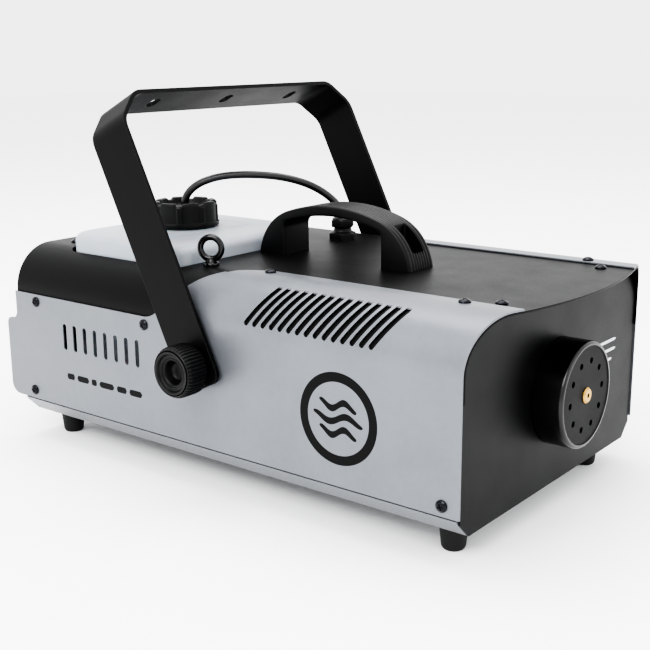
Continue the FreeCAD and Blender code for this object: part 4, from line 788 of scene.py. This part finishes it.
@dataclass
class CarryHandle:
    """The moulded arch handle with flutes along its back and a screw pocket at each end."""

    middle: float = 29.0
    side: float = -9.0
    deck: float = DECK
    half: float = 70.9
    high: float = 41.0
    corner: float = 41.0
    drop: float = 5.0
    wide: float = 30.5
    foot: float = 26.5
    thick: float = 7.5
    inner_corner: float = 5.0
    pocket: Triple = (17.0, 14.0, 9.0)
    flutes: tuple[float, ...] = (-7.5, -4.5, -1.5, 1.5, 4.5, 7.5)
    edge: float = 2.6
    low_edge: float = 2.0

    def screw_places(self) -> list[Pair]:
        """The two screws' places in plan, one in each foot."""
        reach = self.half - self.foot / 2 + 1
        return [(self.middle + end * reach, self.side) for end in (-1, 1)]

    def outer(self, count: int) -> Array:
        """The back of the arch: a corner arc, one long crown arc and a corner arc."""
        shift = self.half - self.corner
        lift = self.high + self.drop
        crown = (shift ** 2 + lift ** 2 - self.corner ** 2) / (2 * (lift - self.corner))
        lean = math.asin(shift / (crown - self.corner))
        low = math.asin(self.drop / self.corner)
        turn = np.linspace(low, math.pi / 2 - lean, count // 3)
        side = np.stack([shift + self.corner * np.cos(turn), self.corner * np.sin(turn)
                         - self.drop], -1)
        sweep = np.linspace(lean, -lean, count - 2 * (count // 3) + 2)[1:-1]
        top = np.stack([crown * np.sin(sweep), self.high - crown + crown * np.cos(sweep)], -1)
        return np.concatenate([side, top, side[::-1] * np.array([-1, 1])])

    def inner(self, count: int) -> Array:
        """The finger side: a straight leg, a small corner, a long low arc, and back down."""
        edge = self.half - self.foot
        shoulder = self.high - self.thick - 7.4
        points = rounded_profile([(edge, 0.0, 0), (edge, shoulder, self.inner_corner),
                                  (0.0, self.high - self.thick + 5.6, 42),
                                  (-edge, shoulder, self.inner_corner), (-edge, 0.0, 0)], 24)
        run = np.r_[0, np.cumsum(np.linalg.norm(np.diff(points, axis=0), axis=1))]
        even = np.linspace(0, run[-1], count)
        return np.stack([np.interp(even, run, points[:, 0]), np.interp(even, run, points[:, 1])], -1)

    def build(self) -> None:
        """Loft rounded sections between the back and the finger side, then cut the pockets.

        Across the back, the depth of a flute at y is 0.8 mm times exp(-((y - place) / 0.6)^2).
        """
        count = 150
        back, under = self.outer(count), self.inner(count)
        edge, low_edge, half = self.edge, self.low_edge, self.wide / 2
        y = np.linspace(edge - half, half - edge, 81)
        groove = sum(np.exp(-((y - place) / 0.6) ** 2) for place in self.flutes) * 0.8
        bead = np.exp(-((np.abs(y) - half + 4.4) / 0.6) ** 2) * 0.9
        turn = np.linspace(0, math.pi / 2, 7)
        out, back_in = turn[1:], turn[::-1]
        depth = np.concatenate([
            groove + bead, edge * (1 - np.cos(out)), [0.0], -low_edge * (1 - np.sin(turn)),
            -low_edge * (1 - np.sin(back_in)), [0.0], edge * (1 - np.cos(back_in))[:-1]])
        across = np.concatenate([
            y, half - edge + edge * np.sin(out), [half], half - low_edge * (1 - np.cos(turn)),
            -half + low_edge * (1 - np.cos(back_in)), [-half],
            -half + edge - edge * np.sin(back_in)[:-1]])
        share = np.concatenate([np.zeros(len(y) + len(out)), [0.5], np.ones(2 * len(turn)), [0.5],
                                np.zeros(len(out))])
        gap = under - back
        length = np.linalg.norm(gap, axis=1, keepdims=True)
        way = gap / length
        reach = share[None, :] * length + depth[None, :]
        flat = back[:, None, :] + way[:, None, :] * reach[..., None]
        flat[..., 1] = np.maximum(flat[..., 1], 0.0)
        flat[[0, -1], :, 1] = 0.0
        rows = np.stack([self.middle + flat[..., 0],
                         np.broadcast_to(self.side + across, flat.shape[:2]),
                         self.deck + flat[..., 1]], -1)
        caps = rows.mean(1, keepdims=True).repeat(rows.shape[1], 1)
        rows = np.concatenate([caps[:1], rows, caps[-1:]])
        handle = piece("moulded_handle", (rows.reshape(-1, 3), grid_faces(
            rows.shape[0], rows.shape[1], True)), BLACK_NYLON, "case",
            ("carry_handle",), crease=40)
        cutters = []
        long, broad, floor = self.pocket
        for x, middle in self.screw_places():
            cutters.append(box_shape((x - long / 2, middle - broad / 2, self.deck + floor),
                                     (x + long / 2, middle + broad / 2, 240), 1.5))
        carve(handle, cutters)


@dataclass
class Yoke:
    """The bent strap and its two knurled clamp knobs."""

    pivot: Pair = (-9.0, 95.6)
    face: float = 132.6
    radius: float = 18.3
    thick: float = 21.0
    ribs: int = 44

    def build_knob(self, side: str, sign: int) -> None:
        """One knob: the rim's ribs follow tanh(2.2 cos(44 a)), a wave with flat peaks.

        Args:
            side: near or far.
            sign: -1 for the near side and 1 for the far side.
        """
        r, t = self.radius, self.thick
        profile = rounded_profile([
            (4.0, 0.08, 0), (12.0, 0.08, 0.4), (12.0, 2.0, 0.3), (r - 0.7, 2.4, 0.8),
            (r, 4.6, 1.2), (r, t - 3.4, 1.2), (r - 1.6, t - 0.5, 1.4), (r - 3.0, t, 0.8),
            (13.6, t, 0.9), (12.6, t - 2.4, 0.9), (10.6, t - 2.6, 0.7), (9.4, t - 1.9, 0.7),
            (8.4, t - 3.0, 0.8), (6.2, t - 8.6, 1.6), (4.0, t - 9.0, 0.5), (0.0, t - 9.0, 0)], 6)
        on_rim = np.clip((profile[:, 0] - (r - 1.5)) / 0.8, 0, 1)

        def swell(angle: Array, row: Array) -> Array:
            """Radius factor of the ribs."""
            wave = np.tanh(2.2 * np.cos(self.ribs * angle))
            return 1 + on_rim[row] * 0.45 * (wave - 0.98) / r

        points, faces = lathed(profile, self.ribs * 10, swell)
        origin = (self.pivot[0], sign * self.face, self.pivot[1])
        piece(f"clamp_knob_{side}", (aimed(points, origin, (0, sign, 0)), faces), BLACK_NYLON,
              f"knob_{side}", (f"knob_{side}",), crease=32)

    def build(self) -> None:
        """Dress the strap and make both knobs."""
        dress(STRAP_COAT, "yoke")
        dress(ZINC_PLATE, "knob_washers", "knob_stud_near", "knob_stud_far", "pivot_nuts",
              "pivot_plates")
        dress(BLACK_NYLON, "pivot_spacers")
        self.build_knob("near", -1)
        self.build_knob("far", 1)


@dataclass
class EyeBolt:
    """The enamelled safety eye."""

    place: Pair = (-33.5, -85.2)
    deck: float = DECK
    rise: float = 12.6
    ring: float = 8.0
    wire: float = 2.3
    turn: float = 25.0

    def build(self) -> None:
        """A torus on a flared collar; the wire is 6 percent thicker towards the collar."""
        around = full_turn(96)[:, None]
        section = full_turn(32)[None, :]
        wire = self.wire * (1 + 0.06 * np.clip(-np.sin(around), 0, 1) ** 3)
        radius = self.ring + wire * np.cos(section)
        wide, deep = radius * np.cos(around), wire * np.sin(section)
        turn = math.radians(self.turn)
        torus = np.stack([self.place[0] + wide * math.cos(turn) - deep * math.sin(turn),
                          self.place[1] + wide * math.sin(turn) + deep * math.cos(turn),
                          radius * np.sin(around) + self.deck + self.rise], -1)
        torus = np.concatenate([torus, torus[:1]])
        ring = (torus.reshape(-1, 3), grid_faces(97, 32, True))
        profile = rounded_profile([(0, 0, 0), (5.9, 0, 0.2), (5.9, 1.8, 0.8), (3.3, 3.2, 1.2),
                                   (2.9, 4.8, 0.5), (0, 4.8, 0)], 6)
        points, faces = lathed(profile, 48)
        collar = (aimed(points, (*self.place, self.deck), UP), faces)
        shank, quads = lathed(rounded_profile([(0, -13, 0), (3, -13, 0.4), (3, 0.1, 0),
                                               (0, 0.1, 0)]), 32)
        stem = (aimed(shank, (*self.place, self.deck), UP), quads)
        piece("safety_eye", joined(ring, collar, stem), BLACK_ENAMEL, "case",
              ("eye_bolt",), crease=50)
        dress(ZINC_PLATE, "eye_nut")


# ------------------------------------------------------------------ fasteners and feet

@dataclass
class Fasteners:
    """Pan-head screws with cross recesses."""

    head: float = 4.0
    dome: float = 2.4
    half: float = 125.0
    rear: float = -216.0
    length: float = 420.0
    top: float = 159.0
    deck: float = DECK

    def head_shape(self, turn: float) -> Surface:
        """One head: dome height falls as the 2.6th power of the radius, with a cross in it.

        The cross is 1.1 mm deep where one of |x|, |y| is under 0.45 mm and the other under 2.0 mm.

        Args:
            turn: How far the cross is turned, in degrees.

        Returns:
            The points and the quads, standing on the XY plane.
        """
        radius = np.concatenate([np.linspace(0, 2.9, 15), np.linspace(3.0, self.head, 8)])[:, None]
        angle = full_turn(64)[None, :]
        x, y = radius * np.cos(angle), radius * np.sin(angle)
        base = self.dome * (1 - 0.62 * (radius / self.head) ** 2.6) + 0 * angle

        def step(value: Array, limit: float) -> Array:
            """1 where value is under limit, easing to 0 over 0.3 mm."""
            return np.clip((limit + 0.15 - np.abs(value)) / 0.3, 0, 1)

        cross = np.maximum(step(x, 0.45) * step(y, 2.0), step(y, 0.45) * step(x, 2.0))
        height = base - 1.1 * cross
        rows = np.stack([x, y, height], -1)
        skirt = np.stack([self.head * np.cos(angle[0]), self.head * np.sin(angle[0]),
                          np.zeros(64)], -1)[None]
        foot = np.zeros((1, 64, 3))
        whole = np.concatenate([rows, skirt, foot]).reshape(-1, 3)
        a = math.radians(turn)
        spin = np.array([[math.cos(a), -math.sin(a), 0], [math.sin(a), math.cos(a), 0], [0, 0, 1]])
        return whole @ spin.T, grid_faces(len(radius) + 2, 64, True)

    def shank_shape(self, length: float) -> Surface:
        """The threaded shank: radius 1.85 mm plus 0.12 mm times the sine of the pitch angle."""
        z = np.linspace(-length, 0.0, 60)
        radius = 1.85 + 0.12 * np.sin(z * 2 * math.pi / 0.7)
        profile = np.stack([np.r_[0, radius, 0], np.r_[-length, z, 0.0]], -1)
        return lathed(profile, 20)

    def spots(self) -> list[tuple[Triple, Triple]]:
        """Where each cover screw stands, and which way its head looks."""
        found = []
        high = 116.0
        low = self.deck - high
        for side in (-1, 1):
            for along, height in ((26, high), (151, high), (17, low), (self.length - 12, low)):
                found.append(((self.rear + along, side * self.half, height), (0, side, 0)))
            for along in (240, self.length - 23):
                found.append(((self.rear + along, side * 85.5, self.top), UP))
            found.append(((self.rear + self.length - 6, side * 70.0, self.deck), UP))
            found.append(((self.rear + 22, side * 78.0, self.deck), UP))
        return found

    def screw_set(self, name: str, spots: list[tuple[Triple,
                                                     Triple]],
                  node: str, length: float) -> None:
        """A set of equal screws as one piece.

        Args:
            name: The piece's name.
            spots: Place and direction of each screw.
            node: The CAD node that it replaces.
            length: The shank's length in millimetres.
        """
        shapes = []
        for number, (place, way) in enumerate(spots):
            for points, faces in (self.head_shape(37.0 * number), self.shank_shape(length)):
                shapes.append((aimed(points, place, way), faces))
        piece(name, joined(*shapes), BLACK_OXIDE, "case", (node,), crease=40)

    def build(self) -> None:
        """Cover screws, foot screws and handle screws."""
        self.screw_set("cover_screw_set", self.spots(), "cover_screws", 7.0)
        feet = [((*place, 10.0), (0, 0, -1)) for place in FOOT_PLACES]
        self.screw_set("foot_screw_set", feet, "foot_screws", 14.0)
        handle = CarryHandle()
        grips = [((*place, self.deck + handle.pocket[2]), UP) for place in handle.screw_places()]
        self.screw_set("handle_screw_set", grips, "handle_screws", 15.0)


@dataclass
class Feet:
    """Four moulded rubber feet."""

    tall: float = 20.0
    top: float = 10.0
    low: float = 8.0
    recess: float = 5.0
    hole: float = 2.2

    def build(self) -> None:
        """Tapered rings with a rounded sole and a screw recess."""
        tall, half = self.tall, self.tall / 2
        profile = rounded_profile([
            (self.hole, tall, 0), (self.top, tall, 0.8), (self.top - 0.3, tall - 2.4, 0.6),
            (self.low, 1.6, 1.4), (self.low - 1.4, 0.0, 0.7), (self.recess, 0.0, 0.4),
            (self.recess, half, 0.3), (self.hole, half, 0.1), (self.hole, tall, 0)], 5)
        points, faces = lathed(profile, 64)
        shapes = [(aimed(points, (*place, 0.0), UP), faces) for place in FOOT_PLACES]
        piece("rubber_foot_set", joined(*shapes), BLACK_RUBBER, "case",
              ("rubber_feet",), crease=40)


# ------------------------------------------------------------------ nozzle, case and rear

@dataclass
class Nozzle:
    """The guard ring, its perforated disc and the jet."""

    face: float = FRONT_FACE
    height: float = 86.0
    radius: float = 36.5
    reach: float = 21.5

    def build(self) -> None:
        """A ring with a rolled lip, then the disc and jet from the CAD."""
        r, t = self.radius, self.reach
        spigot, bore = r - 0.6, r - 3.0
        profile = rounded_profile([
            (bore, -14, 0), (spigot, -14, 0.4), (spigot, -3.5, 0.1), (r + 5, -3.5, 0.2),
            (r + 5, -1.5, 0.2), (spigot, -1.5, 0.1), (spigot, 0.5, 0.1), (r, 0.6, 0.1),
            (r, t, 2.6), (bore + 0.2, t, 0.2), (bore, t - 0.4, 0.1), (bore, -14, 0)], 7)
        points, faces = lathed(profile, 128)
        piece("nozzle_ring", (aimed(points, (self.face, 0, self.height), (1, 0, 0)), faces),
              RING_ENAMEL, "case", ("nozzle_guard",), crease=50)
        dress(HEAT_PAINT, "nozzle_disc")
        dress(TURNED_BRASS, "nozzle_tip", "heater_inlet")


@dataclass
class Case:
    """Sheet-metal covers, panels and printed marks."""

    side: float = -125.0
    mark: Pair = (113.0, 80.5)
    mark_radius: float = 31.0
    gaps: tuple[float, ...] = (9.0, 0.0, -9.0)
    bar_row: float = 61.0
    bar_start: float = -156.5
    bar_lengths: tuple[float, ...] = (9.0, 14.0, 6.0, 17.0, 11.0, 14.0)
    front_bars: tuple[Triple, ...] = ((76.0, 103.0, 15.0), (76.0, 96.0, 15.0), (76.0, 89.0, 9.0))

    def ribbon(self, centre: Array, across: Array) -> Surface:
        """A flat strip: rows centre - across and centre + across.

        Args:
            centre: Points along the strip's middle, in the plane (x, z).
            across: Half the strip's width at each point, as a vector.

        Returns:
            Plan points and quads.
        """
        return (np.concatenate([centre - across, centre + across]),
                grid_faces(2, len(centre), False))

    def bar(self, middle: Pair, reach: float, half: float) -> Surface:
        """A flat bar: half its height is `half` times the square root of 1 - t^8.

        Args:
            middle: Its middle, along and up.
            reach: Half its length; t runs from -1 to 1 along it.
            half: Half its height.

        Returns:
            Plan points and quads.
        """
        t = np.linspace(-1, 1, 13)
        centre = np.stack([middle[0] + t * reach, np.full(len(t), middle[1])], -1)
        across = half * np.sqrt(np.clip(1 - t ** 8, 0, 1))
        return self.ribbon(centre, np.stack([0 * t, across], -1))

    def on_side(self, shape: Surface) -> Surface:
        """Lay a plan in (x, z) on the near side."""
        plan, faces = shape
        return np.stack([plan[:, 0], np.full(len(plan), self.side - PROUD), plan[:, 1]], -1), faces

    def on_front(self, shape: Surface) -> Surface:
        """Lay a plan in (y, z) on the front panel."""
        plan, faces = shape
        return np.column_stack([np.full(len(plan), FRONT_FACE + PROUD), plan]), faces

    def build_marks(self) -> None:
        """A round emblem with three waves, a row of plain bars, and three bars on the front."""
        angle = np.linspace(0, 2 * math.pi, 129)
        circle = np.stack([np.cos(angle), np.sin(angle)], -1)
        centre = np.array(self.mark)
        ring = self.ribbon(centre + circle * (self.mark_radius - 3.2), circle * 3.2)
        shapes = [self.on_side(ring)]
        x = np.linspace(-1, 1, 61)
        for gap in self.gaps:
            reach = 20.0 - abs(gap) * 0.55
            wave = np.stack([x * reach, gap + 2.4 * np.sin(x * math.pi * 1.5)], -1)
            thick = 2.3 * np.sqrt(np.clip(1 - x ** 4, 0, 1))
            shapes.append(self.on_side(self.ribbon(
                centre + wave, np.stack([0 * x, thick], -1))))
        at = self.bar_start
        for length in self.bar_lengths:
            shapes.append(self.on_side(self.bar((at + length / 2, self.bar_row), length / 2, 2.4)))
            at += length + 3.0
        piece("side_emblem_print", joined(*shapes), BLACK_INK, "case")
        bars = [self.on_front(self.bar((y, z), reach, 1.1)) for y, z, reach in self.front_bars]
        piece("front_bar_print", joined(*bars), GREY_INK, "case")

    def build(self) -> None:
        """Dress the sheets and print the marks."""
        dress(SILVER_COAT, "side_cover_near", "side_cover_far", "base_tray")
        dress(BLACK_COAT, "top_cover", "front_panel", "rear_panel")
        self.build_marks()


@dataclass
class Fittings:
    """Rear sockets and what the case holds."""

    def build(self) -> None:
        """Dress each CAD node in what it is made of."""
        dress(BLACK_NYLON, "power_inlet", "rocker_frame", "fuse_holder", "remote_socket")
        dress(BLACK_ABS, "power_rocker", "fuse_cap", "pump", "receiver_module")
        dress(RED_LENS, "status_lamp")
        dress(CAST_ALUMINIUM, "heater_block")
        dress(GLASS_CLOTH, "heater_lagging")
        dress(ZINC_PLATE, "heater_shield", "heater_cradles", "thermostats", "pump_bracket",
              "board_bracket")
        dress(TURNED_BRASS, "board_standoffs")
        dress(BLACK_RUBBER, "pump_mounts")
        dress(GREEN_RESIST, "control_board")
        dress(EPOXY_CASE, "relay", "transformer", "terminal_block")


def main() -> None:
    """Build the studio and every sub-assembly."""
    logging.basicConfig(level=logging.INFO, format="%(name)s %(message)s")
    studio, line = Studio(), FluidLine()
    studio.build()
    line.build_hose()
    line.build_gland()
    tank = Tank()
    tank.build_tank()
    tank.build_cap()
    for part in (CarryHandle(), Yoke(), EyeBolt(), Fasteners(), Feet(), Nozzle(), Case(),
                 Fittings()):
        part.build()


if __name__ == "__main__":
    main()
